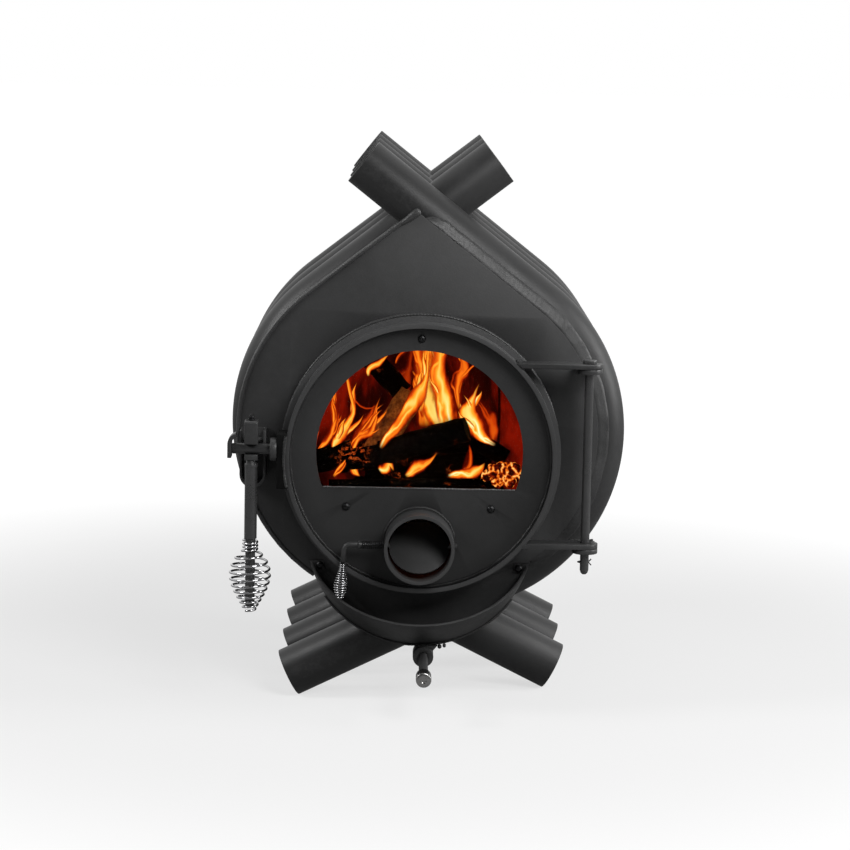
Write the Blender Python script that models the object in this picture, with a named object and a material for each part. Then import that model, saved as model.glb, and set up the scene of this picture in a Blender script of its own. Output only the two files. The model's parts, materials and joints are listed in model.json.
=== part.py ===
"""Hot-air wood stove built round seven crossed steel tubes.

Metres, +Z up, the door faces -Y. The stove stands on the cut ends of its tubes at Z = 0,
with the origin under the middle of its bounding box.
"""
import math

import bmesh
import bpy
from mathutils import Matrix, Vector

# Fits
SEAT = 0.0003            # gap left between two pieces that touch
RUNNING = 0.0005         # radial gap round a turning or sliding piece

# Hot-air tubes: each has a foot, a bend round the firebox and a leg to the crown
TUBE_COUNT = 7
TUBE_OD = 0.057
TUBE_WALL = 0.003
TUBE_SPACING = 0.0004    # daylight between neighbouring tubes
BEND_R = 0.186           # centreline
BEND_X = 0.015           # bend centre, out from the middle of the stove
FOOT_SLOPE = math.radians(26.3)
CROWN_SLOPE = math.radians(37.9)
FOOT_RUN = 0.2834
CROWN_RUN = 0.2637
TUBE_SIDES = 16
BEND_STEPS = 10

# Firebox plates and the strips that close the gaps between tubes
PLATE_T = 0.005
STRIP_T = 0.004
PLATE_INSET = 0.004      # plate edge inside the tube centreline it lies on
PLATE_REACH = 0.016      # plate edge outside the centreline on the other side
BAFFLE_T = 0.004
BAFFLE_RISE = 0.066      # above the bend centre
BAFFLE_DEPTH = 0.250
BAFFLE_EDGE = 0.0012     # clearance at the curved tube walls

# Door opening and door
DOOR_X = -0.007
DOOR_DROP = 0.0215       # door centre below the bend centre
COLLAR_IN = 0.002        # collar's outside inside the door's flange
COLLAR_T = 0.008
COLLAR_DEPTH = 0.024
GASKET_T = 0.0022
GASKET_W = 0.0065
FLANGE_W = 0.006         # flange outside the rim
FLANGE_T = 0.005
RIM_R = 0.154
RIM_T = 0.005
RIM_DEPTH = 0.032
DISC_T = 0.005
DISC_RECESS = 0.013
ROUND_STEPS = 40

# Window
WINDOW_BORDER = 0.0315   # rim's inside to the window's round
WINDOW_X = -0.0015       # from the door centre
WINDOW_RISE = 0.005
WINDOW_SILL = 0.040      # straight lower edge, below the window centre
GLASS_LAP = 0.008
GLASS_T = 0.004
GLASS_SEAL_T = 0.002
GLASS_SEAL_W = 0.007
CLIP_W = 0.016
CLIP_T = 0.003
CLIP_HOLD = 0.005        # how far a clip reaches over the glass
SCREW_TOP_OUT = 0.0136   # top screw above the window edge
SCREW_LOW_OUT = 0.0225   # lower screws below the sill
SCREW_LOW_X = 0.0825

# Round-head screws
SCREW_R = 0.0025
SCREW_HEAD_R = 0.0046
SCREW_HEAD_H = 0.0028
SCREW_STEPS = 14

# Door hinge
HINGE_SIDE = 0.035       # pin axis to the right of the rim
HINGE_OUT = 0.0464       # pin axis in front of the plate
HINGE_PIN_R = 0.005
HINGE_EYE_R = 0.0145
LEAF_T = 0.0056
LEAF_UP = 0.1116         # top of the upper leaf above the door centre
LEAF_DOWN = 0.0945       # top of the lower leaf below it
PIN_BELOW = 0.025        # pin length under the lowest bracket
PIN_HEAD_R = 0.008
PIN_HEAD_H = 0.0035
COTTER_R = 0.0015
COTTER_L = 0.018
COTTER_BELOW = 0.0105

# Air inlet pipe with its butterfly
INLET_R = 0.0397
INLET_WALL = 0.0037
INLET_LENGTH = 0.0490
INLET_EDGE = 0.0118      # between the pipe and the rim's inside
SHAFT_BACK = 0.0290      # damper shaft behind the pipe mouth
SHAFT_R = 0.0031
SHAFT_LEFT = 0.0780      # from the pipe axis to the start of the bend
SHAFT_RIGHT = 0.0030     # past the pipe wall
SHAFT_BEND_R = 0.0070
SHAFT_LEAN = 0.0009
SHAFT_DROP = 0.0130
VALVE_T = 0.0025
VALVE_PLAY = 0.0018
VALVE_TILT = math.radians(41)   # lower edge forward, with the grip hanging
WASHER_T = 0.0025
WASHER_R = 0.0048
SPRING_WIRE_R = 0.0006
SPRING_TURNS = 11
SPRING_LENGTH = 0.0262
SMALL_CORE_R = 0.0020

# Coil grips
SMALL_GRIP_L = 0.0400
SMALL_GRIP_TURNS = 15
SMALL_WIRE_R = 0.00075
SMALL_GRIP_R = 0.0082    # widest, outside
BIG_WIRE_R = 0.0013
BIG_NECK_TURNS = 3
BIG_NECK_PITCH = 0.0040
BIG_BULB_TURNS = 10
BIG_PITCH_TOP = 0.0083
BIG_PITCH_END = 0.0043
BIG_GRIP_R = 0.0240
BIG_GRIP_CLOSE = 0.0036   # how much narrower its last turn is than its neck
COIL_POINTS = 9

# Latch
LATCH_RISE = 0.0096      # above the door centre
LATCH_OUT = 0.0622       # spindle axis in front of the plate
SPINDLE_R = 0.006
SPINDLE_OUT = 0.0508     # end of the spindle, out from its bearing plate
ARM_T = 0.0082
ARM_TOP = 0.018
ARM_LOW = 0.044
ARM_FRONT = 0.010
COLLAR_DISC_R = 0.013
COLLAR_DISC_T = 0.0075
CLAW_T = 0.0046
CLAW_W = 0.018
CLAW_LOW = 0.010         # blade below the spindle's axis
CLAW_HIGH = 0.006        # start of the bend above it
CLAW_BEND_R = 0.0125
CLAW_BEND = math.radians(75)
LEVER_OUT = 0.029        # middle of the lever, out from the bearing plate
LEVER_W = 0.0150
LEVER_FRONT = 0.012
LEVER_BACK = 0.010
LEVER_TOP = 0.0325
LEVER_FOOT = 0.0125
LEVER_CHAMFER = 0.002
NOSE_REACH = 0.050
NOSE_T = 0.006
NOSE_TIP = 0.004
NOSE_CHAMFER = 0.003
BAR_R = 0.003
BAR_BACK = 0.041
BAR_RISE = 0.0042
KEEPER_W = 0.030
KEEPER_T = 0.003
KEEPER_TOP = 0.016
KEEPER_DEPTH = 0.032
KEEPER_LOW = 0.050
HANDLE_R = 0.0071
HANDLE_L = 0.0900
HANDLE_CORE_R = 0.0056
NECK_R = 0.0060
NECK_H = 0.0042
BAND_R = 0.0075
BAND_H = 0.0035
CAP_SCREW_R = 0.0021
CAP_SCREW_L = 0.011
CAP_WASHER_R = 0.0042
CAP_WASHER_T = 0.0014
CAP_HEAD_R = 0.0032
CAP_HEAD_H = 0.0052

# Ash apron under the door
APRON_X = -0.006
APRON_LAP = 0.0595       # centre of its round above the lowest point of the door's rim
APRON_R = 0.132
APRON_T = 0.003
APRON_OUT = 0.071
APRON_CLIMB = 0.036
APRON_END = 0.035        # ends of the rim below the centre of the round
APRON_SCREW_IN = 0.0078  # from the inside of the apron's wall
APRON_SCREW_DROP = 0.040
APRON_FLAT = 0.0015

# Pull rod under the door
ROD_X = 0.0005
ROD_DROP = 0.0129        # rod axis below the apron and the crossed tubes
ROD_R = 0.0053
ROD_REACH = 0.160        # knob face in front of the first tube's centre
KNOB_R = 0.0087
KNOB_L = 0.022
BUSH_R = 0.0120
BUSH_L = 0.030
BUSH_FRONT = 0.0120      # in front of the front plate
ROD_TRAVEL = 0.025
STOP_R = 0.0095
STOP_T = 0.004
ROD_TAIL = 0.012
WEB_T = 0.006
WEB_LEFT = 0.006         # edges of the web that holds the bush
WEB_RIGHT = 0.0165
KNOB_EDGE = 0.0008

# Flue collar with its damper
FLUE_R = 0.060
FLUE_WALL = 0.003
FLUE_LENGTH = 0.118
FLUE_RISE = 0.137        # above the bend centre
FLUE_SHAFT_R = 0.004
FLUE_VALVE_T = 0.002
FLUE_VALVE_PLAY = 0.0022
FLUE_HANDLE_OUT = 0.016
FLUE_HANDLE_L = 0.045

# Worked-out places
PITCH = TUBE_OD + TUBE_SPACING
TUBE_R = TUBE_OD / 2
BEND_Z = (BEND_R + TUBE_R) * math.cos(FOOT_SLOPE) + FOOT_RUN * math.sin(FOOT_SLOPE)
BACK_REACH = (TUBE_COUNT - 1) * PITCH + TUBE_R + 2 * SEAT + PLATE_T + FLUE_LENGTH
FIRST_Y = (ROD_REACH - BACK_REACH) / 2
LAST_Y = FIRST_Y + (TUBE_COUNT - 1) * PITCH
PLATE_BACK = FIRST_Y - TUBE_R - SEAT
PLATE_FACE = PLATE_BACK - PLATE_T
FLANGE_R = RIM_R + FLANGE_W
COLLAR_R = FLANGE_R - COLLAR_IN
WINDOW_R = RIM_R - RIM_T - WINDOW_BORDER
COLLAR_FACE = PLATE_FACE - SEAT - COLLAR_DEPTH
FLANGE_BACK = COLLAR_FACE - GASKET_T - 2 * SEAT
RIM_FACE = FLANGE_BACK - RIM_DEPTH
DISC_FACE = RIM_FACE + DISC_RECESS
DISC_BACK = DISC_FACE + DISC_T
DOOR_Z = BEND_Z - DOOR_DROP
INLET_X = DOOR_X
INLET_Z = DOOR_Z - (RIM_R - RIM_T - INLET_EDGE - INLET_R)
INLET_MOUTH = DISC_FACE - SEAT - INLET_LENGTH
SHAFT_Y = INLET_MOUTH + SHAFT_BACK
LEAF_TOP_Z = DOOR_Z + LEAF_UP
LEAF_LOW_Z = DOOR_Z - LEAF_DOWN
HINGE_X = DOOR_X + RIM_R + HINGE_SIDE
HINGE = Vector((HINGE_X, PLATE_FACE - HINGE_OUT, LEAF_LOW_Z))
ARM_LEFT = DOOR_X - RIM_R - SEAT - ARM_T
LATCH_Z = DOOR_Z + LATCH_RISE
SPINDLE_LEFT = ARM_LEFT - SPINDLE_OUT
LATCH = Vector((ARM_LEFT - LEVER_OUT, PLATE_FACE - LATCH_OUT, LATCH_Z))
APRON_Z = DOOR_Z - RIM_R + APRON_LAP
APRON_SCREW_X = math.sqrt((APRON_R - APRON_T) ** 2 - APRON_SCREW_DROP ** 2) - APRON_SCREW_IN
FOOT_TOP_X = BEND_X + BEND_R * math.sin(FOOT_SLOPE)
FOOT_TOP_Z = BEND_Z - BEND_R * math.cos(FOOT_SLOPE)
CROSSING_LOW = FOOT_TOP_Z - FOOT_TOP_X * math.tan(FOOT_SLOPE) - TUBE_R / math.cos(FOOT_SLOPE)
ROD_Z = min(APRON_Z - APRON_R, CROSSING_LOW) - ROD_DROP
REAR_FACE = LAST_Y + TUBE_R + SEAT + PLATE_T
FLUE_Z = BEND_Z + FLUE_RISE
FLUE_Y = REAR_FACE + SEAT + FLUE_LENGTH / 2

SMOOTH = math.radians(35)


def clear_scene():
    for obj in list(bpy.data.objects):
        bpy.data.objects.remove(obj)


def finish_of(name, colour, roughness, metallic):
    material = bpy.data.materials.new(name)
    material.use_nodes = True
    shader = material.node_tree.nodes["Principled BSDF"]
    shader.inputs["Base Color"].default_value = (*colour, 1)
    shader.inputs["Roughness"].default_value = roughness
    shader.inputs["Metallic"].default_value = metallic
    return material


def painted(name):
    return finish_of(name, (0.045, 0.045, 0.046), 0.62, 0.0)


def chromed(name):
    return finish_of(name, (0.72, 0.72, 0.73), 0.15, 1.0)


def pivot(name, place):
    empty = bpy.data.objects.new(name, None)
    empty.location = place
    bpy.context.collection.objects.link(empty)
    return empty


def link(name, data, material, origin, parent):
    """Add an object whose data is already drawn round its own origin."""
    data.materials.append(material)
    obj = bpy.data.objects.new(name, data)
    bpy.context.collection.objects.link(obj)
    if parent:
        obj.parent = parent
        obj.location = Vector(origin) - parent.location
    else:
        obj.location = origin
    return obj


def body(name, bm, material, origin=(0, 0, 0), parent=None):
    """Turn a bmesh drawn in world space into an object with the origin given."""
    bmesh.ops.recalc_face_normals(bm, faces=bm.faces)
    bmesh.ops.translate(bm, verts=bm.verts, vec=-Vector(origin))
    mesh = bpy.data.meshes.new(name)
    bm.to_mesh(mesh)
    bm.free()
    mesh.shade_smooth()
    mesh.set_sharp_from_angle(angle=SMOOTH)
    return link(name, mesh, material, origin, parent)


def cut(obj, bm, name, operation="DIFFERENCE"):
    """Apply a Boolean with a hidden tool body."""
    bmesh.ops.recalc_face_normals(bm, faces=bm.faces)
    mesh = bpy.data.meshes.new(name)
    bm.to_mesh(mesh)
    bm.free()
    tool = bpy.data.objects.new(name, mesh)
    bpy.context.collection.objects.link(tool)
    tool.hide_render = True
    tool.display_type = "WIRE"
    modifier = obj.modifiers.new(name, "BOOLEAN")
    modifier.operation = operation
    modifier.object = tool


def prism(outline, low, high, axis="Y"):
    """Extrude a flat outline along an axis. The outline holds the two other coordinates in order."""
    def spot(a, b):
        return {"X": (low, a, b), "Y": (a, low, b), "Z": (a, b, low)}[axis]

    bm = bmesh.new()
    face = bm.faces.new([bm.verts.new(spot(a, b)) for a, b in outline])
    grown = bmesh.ops.extrude_face_region(bm, geom=[face])
    moved = [item for item in grown["geom"] if isinstance(item, bmesh.types.BMVert)]
    step = Vector([high - low if axis == name else 0 for name in "XYZ"])
    bmesh.ops.translate(bm, verts=moved, vec=step)
    return bm


def turned(profile, base, direction, steps=ROUND_STEPS):
    """Spin a profile of (radius, height) points about an axis through base."""
    bm = bmesh.new()
    verts = [bm.verts.new((radius, 0, height)) for radius, height in profile]
    edges = [bm.edges.new(pair) for pair in zip(verts, verts[1:])]
    if min(radius for radius, height in profile) > 0:
        edges.append(bm.edges.new((verts[-1], verts[0])))
    bmesh.ops.spin(bm, geom=verts + edges, cent=(0, 0, 0), axis=(0, 0, 1),
                   angle=math.tau, steps=steps, use_merge=True)
    bmesh.ops.remove_doubles(bm, verts=bm.verts, dist=0.000001)
    turn = Vector((0, 0, 1)).rotation_difference(Vector(direction)).to_matrix().to_4x4()
    bmesh.ops.transform(bm, matrix=Matrix.Translation(base) @ turn, verts=bm.verts)
    return bm


def disc(radius, low, high):
    return [(0, low), (radius, low), (radius, high), (0, high)]


def ring(inner, outer, low, high):
    return [(inner, low), (outer, low), (outer, high), (inner, high)]


def block(low, high):
    bm = bmesh.new()
    bmesh.ops.create_cube(bm, size=1)
    size = Vector(high) - Vector(low)
    bmesh.ops.scale(bm, vec=size, verts=bm.verts)
    bmesh.ops.translate(bm, vec=Vector(low) + size / 2, verts=bm.verts)
    return bm


def arc(centre, radius, start, stop, steps):
    points = []
    for index in range(steps + 1):
        angle = start + (stop - start) * index / steps
        points.append((centre[0] + radius * math.cos(angle), centre[1] + radius * math.sin(angle)))
    return points


def wire(name, points, radius, material, parent, origin, resolution=1, radii=None):
    """A round wire or rod along points, with closed ends."""
    curve = bpy.data.curves.new(name, "CURVE")
    curve.dimensions = "3D"
    curve.bevel_depth = radius
    curve.bevel_resolution = resolution
    curve.use_fill_caps = True
    spline = curve.splines.new("POLY")
    spline.points.add(len(points) - 1)
    for index, point in enumerate(points):
        spline.points[index].co = (*(Vector(point) - Vector(origin)), 1)
        spline.points[index].radius = radii[index] if radii else 1
    spline.use_smooth = True
    return link(name, curve, material, origin, parent)


def straight_ends(points, length):
    """Lead both ends of a coil off straight."""
    first = points[0] + (points[0] - points[1]).normalized() * length
    last = points[-1] + (points[-1] - points[-2]).normalized() * length
    return [first] + points + [last]


def least_gap(name, points, wire_r):
    """Print how near a coil comes to itself, over points more than half a turn apart."""
    apart = COIL_POINTS // 2 + 1
    nearest = min((a - b).length for i, a in enumerate(points) for b in points[i + apart:])
    print(name, "least gap to itself", round((nearest - 2 * wire_r) * 1000, 2), "mm")


def coil(start, along, radius_at, height_at, turns, wire_r):
    """Points of a coil round an axis; the two functions give radius and height at 0 to 1."""
    axis = Vector(along).normalized()
    side = axis.orthogonal().normalized()
    other = axis.cross(side)
    points = []
    for index in range(turns * COIL_POINTS + 1):
        share = index / (turns * COIL_POINTS)
        angle = math.tau * index / COIL_POINTS
        out = side * math.cos(angle) + other * math.sin(angle)
        points.append(Vector(start) + axis * height_at(share) + out * radius_at(share))
    return straight_ends(points, 2 * wire_r)


class Side:
    """The path of a tube in the X-Z plane, wrapping right (+1) or left (-1)."""

    foot_out = (math.sin(FOOT_SLOPE), -math.cos(FOOT_SLOPE))
    crown_out = (math.sin(CROWN_SLOPE), math.cos(CROWN_SLOPE))
    foot_way = (math.cos(FOOT_SLOPE), math.sin(FOOT_SLOPE))
    crown_way = (-math.cos(CROWN_SLOPE), math.sin(CROWN_SLOPE))
    first_angle = FOOT_SLOPE - math.pi / 2
    last_angle = math.pi / 2 - CROWN_SLOPE

    def __init__(self, hand):
        self.hand = hand

    def at(self, out, angle=None, foot=0.0, crown=0.0):
        """Point at a distance outside the centreline: on the bend, or along a straight run."""
        way = (0, 0)
        run = 0
        if foot:
            angle, way, run = self.first_angle, self.foot_way, -foot
        if crown:
            angle, way, run = self.last_angle, self.crown_way, crown
        x = BEND_X + (BEND_R + out) * math.cos(angle) + way[0] * run
        z = BEND_Z + (BEND_R + out) * math.sin(angle) + way[1] * run
        return self.hand * x, z

    def bend(self, out, first=None, last=None, steps=BEND_STEPS):
        first = self.first_angle if first is None else first
        last = self.last_angle if last is None else last
        return [self.at(out, first + (last - first) * i / steps) for i in range(steps + 1)]

    def foot_limit(self, out):
        """Run along the foot to the wall of the tube that crosses it."""
        return self.limit(out, self.first_angle, FOOT_SLOPE)

    def crown_limit(self, out):
        return self.limit(out, self.last_angle, CROWN_SLOPE)

    def limit(self, out, angle, slope):
        x, z = self.at(0, angle)
        apart = 2 * abs(x) * math.sin(slope) - out * math.cos(2 * slope)
        return (apart - TUBE_R - SEAT) / math.sin(2 * slope)


RIGHT = Side(1)
LEFT = Side(-1)


def tube(index):
    """One bent tube, open at both ends."""
    side = RIGHT if index % 2 == 0 else LEFT
    y = FIRST_Y + index * PITCH
    angles = [side.first_angle + (side.last_angle - side.first_angle) * i / BEND_STEPS
              for i in range(BEND_STEPS + 1)]
    stations = [(side.first_angle, FOOT_RUN, 0)]
    stations += [(angle, 0, 0) for angle in angles]
    stations += [(side.last_angle, 0, CROWN_RUN)]

    def rings(bm, radius):
        made = []
        for angle, foot, crown in stations:
            loop = []
            for corner in range(TUBE_SIDES):
                turn = math.tau * corner / TUBE_SIDES
                x, z = side.at(radius * math.cos(turn), angle, foot, crown)
                loop.append(bm.verts.new((x, y + radius * math.sin(turn), z)))
            made.append(loop)
        return made

    bm = bmesh.new()
    outer = rings(bm, TUBE_R)
    inner = rings(bm, TUBE_R - TUBE_WALL)
    for loops in (outer, inner):
        for low, high in zip(loops, loops[1:]):
            for k in range(TUBE_SIDES):
                n = (k + 1) % TUBE_SIDES
                bm.faces.new((low[k], low[n], high[n], high[k]))
    for end in (0, -1):
        for k in range(TUBE_SIDES):
            n = (k + 1) % TUBE_SIDES
            bm.faces.new((outer[end][k], outer[end][n], inner[end][n], inner[end][k]))
    name = f"hot_air_tube_{index + 1}"
    body(name, bm, painted(name), (0, y, BEND_Z))


def strip_outline(side, inner, outer):
    """A strip along the bend and both runs, cut to lie against the crossing tubes."""
    outside = [side.at(outer, foot=side.foot_limit(outer))] + side.bend(outer)
    outside += [side.at(outer, crown=side.crown_limit(outer))]
    inside = [side.at(inner, foot=side.foot_limit(inner))] + side.bend(inner)
    inside += [side.at(inner, crown=side.crown_limit(inner))]
    return outside + inside[::-1]


def side_strips():
    """Strips on the centreline between tubes of one side."""
    for index in range(1, TUBE_COUNT - 1):
        side = LEFT if index % 2 == 0 else RIGHT
        y = FIRST_Y + index * PITCH
        half = PITCH - TUBE_R - SEAT
        outline = strip_outline(side, -STRIP_T / 2, STRIP_T / 2)
        name = f"side_strip_{index}"
        body(name, prism(outline, y - half, y + half), painted(name), (0, y, BEND_Z))


def end_strips():
    """Strips on the left between the end plates and the nearest tube."""
    inner = PLATE_REACH - STRIP_T
    to_tube = PITCH - math.sqrt(TUBE_R ** 2 - inner ** 2) - SEAT
    outline = strip_outline(LEFT, inner, PLATE_REACH)
    spans = {"front_side_strip": (PLATE_BACK + SEAT, FIRST_Y + to_tube),
             "rear_side_strip": (LAST_Y - to_tube, LAST_Y + TUBE_R)}
    for name, (low, high) in spans.items():
        body(name, prism(outline, low, high), painted(name), (0, (low + high) / 2, BEND_Z))


def crossing(right_out, left_out, slope, base, up):
    """Where a line on the right path meets one on the left path."""
    x = (right_out - left_out) / (2 * math.sin(slope))
    z = base + up * (right_out / math.cos(slope)) - up * x * math.tan(slope)
    return x, z


def crown_crossing(right_out, left_out):
    x, z = RIGHT.at(0, RIGHT.last_angle)
    return crossing(right_out, left_out, CROWN_SLOPE, z + x * math.tan(CROWN_SLOPE), 1)


def foot_crossing(right_out, left_out):
    x, z = RIGHT.at(0, RIGHT.first_angle)
    return crossing(right_out, left_out, FOOT_SLOPE, z - x * math.tan(FOOT_SLOPE), -1)


def meet(centre_a, radius_a, centre_b, radius_b, pick):
    """The left (-1) or right (+1) point where two circles cross."""
    a = Vector(centre_a)
    way = Vector(centre_b) - a
    apart = way.length
    along = (radius_a ** 2 - radius_b ** 2 + apart ** 2) / (2 * apart)
    half = math.sqrt(radius_a ** 2 - along ** 2)
    way.normalize()
    side = Vector((-way.y, way.x)) * half
    points = [a + way * along + side, a + way * along - side]
    return max(points, key=lambda p: p.x * pick)


def front_outline():
    """Teardrop of the front plate; its foot follows the apron."""
    apron = (APRON_X, APRON_Z)
    right = meet((BEND_X, BEND_Z), BEND_R - PLATE_INSET, apron, APRON_R, 1)
    left = meet((-BEND_X, BEND_Z), BEND_R + PLATE_REACH, apron, APRON_R, -1)
    right_turn = math.atan2(right.y - BEND_Z, right.x - BEND_X)
    left_turn = math.atan2(left.y - BEND_Z, -left.x - BEND_X)
    points = RIGHT.bend(-PLATE_INSET, right_turn)
    points += [crown_crossing(-PLATE_INSET, PLATE_REACH)]
    points += LEFT.bend(PLATE_REACH, LEFT.last_angle, left_turn)
    start = math.atan2(left.y - apron[1], left.x - apron[0]) + math.tau
    stop = math.atan2(right.y - apron[1], right.x - apron[0]) + math.tau
    floor = apron[1] - APRON_R + APRON_FLAT
    foot = arc(apron, APRON_R, start, stop, 14)[1:-1]
    return points + [(x, max(z, floor)) for x, z in foot]


def rear_outline():
    points = RIGHT.bend(-PLATE_INSET) + [crown_crossing(-PLATE_INSET, PLATE_REACH)]
    points += LEFT.bend(PLATE_REACH)[::-1]
    return points + [foot_crossing(-PLATE_INSET, PLATE_REACH)]


def firebox_plates():
    plate = body("front_plate", prism(front_outline(), PLATE_FACE, PLATE_BACK),
                 painted("front_plate"), (0, PLATE_BACK, BEND_Z))
    hole = disc(COLLAR_R - COLLAR_T, -PLATE_T, 2 * PLATE_T)
    cut(plate, turned(hole, (DOOR_X, PLATE_FACE, DOOR_Z), (0, 1, 0)), "door_opening_cut")
    for index, place in enumerate(apron_screw_places()):
        bore = disc(SCREW_R + SEAT, -PLATE_T, 2 * PLATE_T)
        tool = turned(bore, (place[0], PLATE_FACE, place[1]), (0, 1, 0), SCREW_STEPS)
        cut(plate, tool, f"plate_screw_cut_{index + 1}")

    rear = body("rear_plate", prism(rear_outline(), REAR_FACE - PLATE_T, REAR_FACE),
                painted("rear_plate"), (0, REAR_FACE, BEND_Z))
    hole = disc(FLUE_R - FLUE_WALL, -PLATE_T, 2 * PLATE_T)
    cut(rear, turned(hole, (0, REAR_FACE - PLATE_T, FLUE_Z), (0, 1, 0)), "flue_opening_cut")

    top = BAFFLE_RISE + BAFFLE_T
    half = BEND_X + math.sqrt((BEND_R - TUBE_R) ** 2 - top ** 2) - BAFFLE_EDGE
    back = REAR_FACE - PLATE_T - SEAT
    low = (-half, back - BAFFLE_DEPTH, BEND_Z + BAFFLE_RISE)
    high = (half, back, BEND_Z + top)
    body("baffle_plate", block(low, high), finish_of("baffle_steel", (0.06, 0.05, 0.045), 0.85, 0.3),
         (0, back, low[2]))


def door_collar():
    profile = ring(COLLAR_R - COLLAR_T, COLLAR_R, 0, COLLAR_DEPTH)
    place = (DOOR_X, COLLAR_FACE, DOOR_Z)
    body("door_collar", turned(profile, place, (0, 1, 0)), painted("door_collar"), place)


def window_outline(grow, steps=24):
    """D-shaped window, grown outwards by the amount given."""
    centre = (DOOR_X + WINDOW_X, DOOR_Z + WINDOW_RISE)
    radius = WINDOW_R + grow
    start = -math.asin((WINDOW_SILL + grow) / radius)
    return arc(centre, radius, start, math.pi - start, steps)


def window_screw_places():
    x = DOOR_X + WINDOW_X
    z = DOOR_Z + WINDOW_RISE
    low = z - WINDOW_SILL - SCREW_LOW_OUT
    top = z + WINDOW_R + SCREW_TOP_OUT
    return [(x, top, -1), (x - SCREW_LOW_X, low, 1), (x + SCREW_LOW_X, low, 1)]


def door_shell(hinge):
    hollow = RIM_R - RIM_T
    face = RIM_DEPTH
    plate = RIM_DEPTH - DISC_RECESS
    profile = [(0, plate), (hollow, plate), (hollow, face), (RIM_R, face), (RIM_R, FLANGE_T),
               (FLANGE_R, FLANGE_T), (FLANGE_R, 0), (hollow, 0), (hollow, plate - DISC_T),
               (0, plate - DISC_T)]
    place = (DOOR_X, FLANGE_BACK, DOOR_Z)
    door = body("door_shell", turned(profile, place, (0, -1, 0)), painted("door_shell"), place, hinge)
    reach = DISC_T / 2
    cut(door, prism(window_outline(0), DISC_FACE - reach, DISC_BACK + reach), "window_cut")
    bore = disc(INLET_R - INLET_WALL, -reach, DISC_T + reach)
    cut(door, turned(bore, (INLET_X, DISC_FACE, INLET_Z), (0, 1, 0)), "inlet_cut")
    for index, (x, z, way) in enumerate(window_screw_places()):
        bore = disc(SCREW_R + SEAT, -reach, DISC_T + reach)
        tool = turned(bore, (x, DISC_FACE, z), (0, 1, 0), SCREW_STEPS)
        cut(door, tool, f"door_screw_cut_{index + 1}")


def door_gasket(hinge):
    middle = COLLAR_R - COLLAR_T / 2
    profile = ring(middle - GASKET_W / 2, middle + GASKET_W / 2, 0, GASKET_T)
    place = (DOOR_X, COLLAR_FACE - SEAT - GASKET_T, DOOR_Z)
    body("door_gasket", turned(profile, place, (0, 1, 0)),
         finish_of("glass_fibre_rope", (0.09, 0.085, 0.08), 0.95, 0.0), place, hinge)


def window_parts(hinge):
    seal_y = DISC_BACK + SEAT
    glass_y = seal_y + GLASS_SEAL_T + SEAT
    clip_y = glass_y + GLASS_T + SEAT
    middle = (DOOR_X + WINDOW_X, glass_y, DOOR_Z + WINDOW_RISE)
    seal = body("glass_seal", prism(window_outline(GLASS_LAP), seal_y, seal_y + GLASS_SEAL_T),
                finish_of("glass_seal_fibre", (0.5, 0.49, 0.46), 0.95, 0.0), middle, hinge)
    inner = window_outline(GLASS_LAP - GLASS_SEAL_W)
    cut(seal, prism(inner, seal_y - GLASS_SEAL_T, seal_y + 2 * GLASS_SEAL_T), "seal_cut")
    body("window_glass", prism(window_outline(GLASS_LAP), glass_y, glass_y + GLASS_T),
         finish_of("ceramic_glass", (0.02, 0.015, 0.012), 0.05, 0.0), middle, hinge)

    for index, (x, z, way) in enumerate(window_screw_places()):
        gap = SCREW_TOP_OUT if way < 0 else SCREW_LOW_OUT
        edge = z + way * (gap - GLASS_LAP)
        foot_end = edge - way * SEAT
        tip = edge + way * CLIP_HOLD
        heel = z - way * SCREW_HEAD_R
        back = clip_y + CLIP_T
        outline = [(seal_y, heel), (back, heel), (back, tip), (clip_y, tip), (clip_y, foot_end),
                   (seal_y, foot_end)]
        name = f"glass_clip_{index + 1}"
        clip = body(name, prism(outline, x - CLIP_W / 2, x + CLIP_W / 2, "X"), painted(name),
                    (x, clip_y, z), hinge)
        bore = turned(disc(SCREW_R + SEAT, -CLIP_T, back - seal_y - CLIP_T / 2), (x, seal_y, z),
                      (0, 1, 0), SCREW_STEPS)
        cut(clip, bore, f"clip_cut_{index + 1}")
        screw(f"window_screw_{index + 1}", (x, DISC_FACE - SEAT, z), DISC_T + 2 * SEAT + CLIP_T, hinge)


def screw(name, place, length, parent=None):
    """Round-head screw driven towards +Y; place is the middle of the underside of its head."""
    head = [(0, -SCREW_HEAD_H), (SCREW_HEAD_R * 0.55, -SCREW_HEAD_H * 0.88),
            (SCREW_HEAD_R * 0.9, -SCREW_HEAD_H * 0.45), (SCREW_HEAD_R, 0)]
    profile = head + [(SCREW_R, 0), (SCREW_R, length), (0, length)]
    body(name, turned(profile, place, (0, 1, 0), SCREW_STEPS),
         finish_of(name, (0.05, 0.05, 0.052), 0.45, 0.6), place, parent)


def eye(start):
    """Half a circle round the hinge pin, seen from above."""
    return arc((HINGE.x, HINGE.y), HINGE_EYE_R, start, start + math.pi, 12)


def leaf(name, outline, low, material, parent):
    origin = (HINGE.x, HINGE.y, low)
    made = body(name, prism(outline, low, low + LEAF_T, "Z"), material, origin, parent)
    bore = disc(HINGE_PIN_R + RUNNING, -LEAF_T, 2 * LEAF_T)
    cut(made, turned(bore, origin, (0, 0, 1), 20), name + "_bore")
    return made


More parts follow.
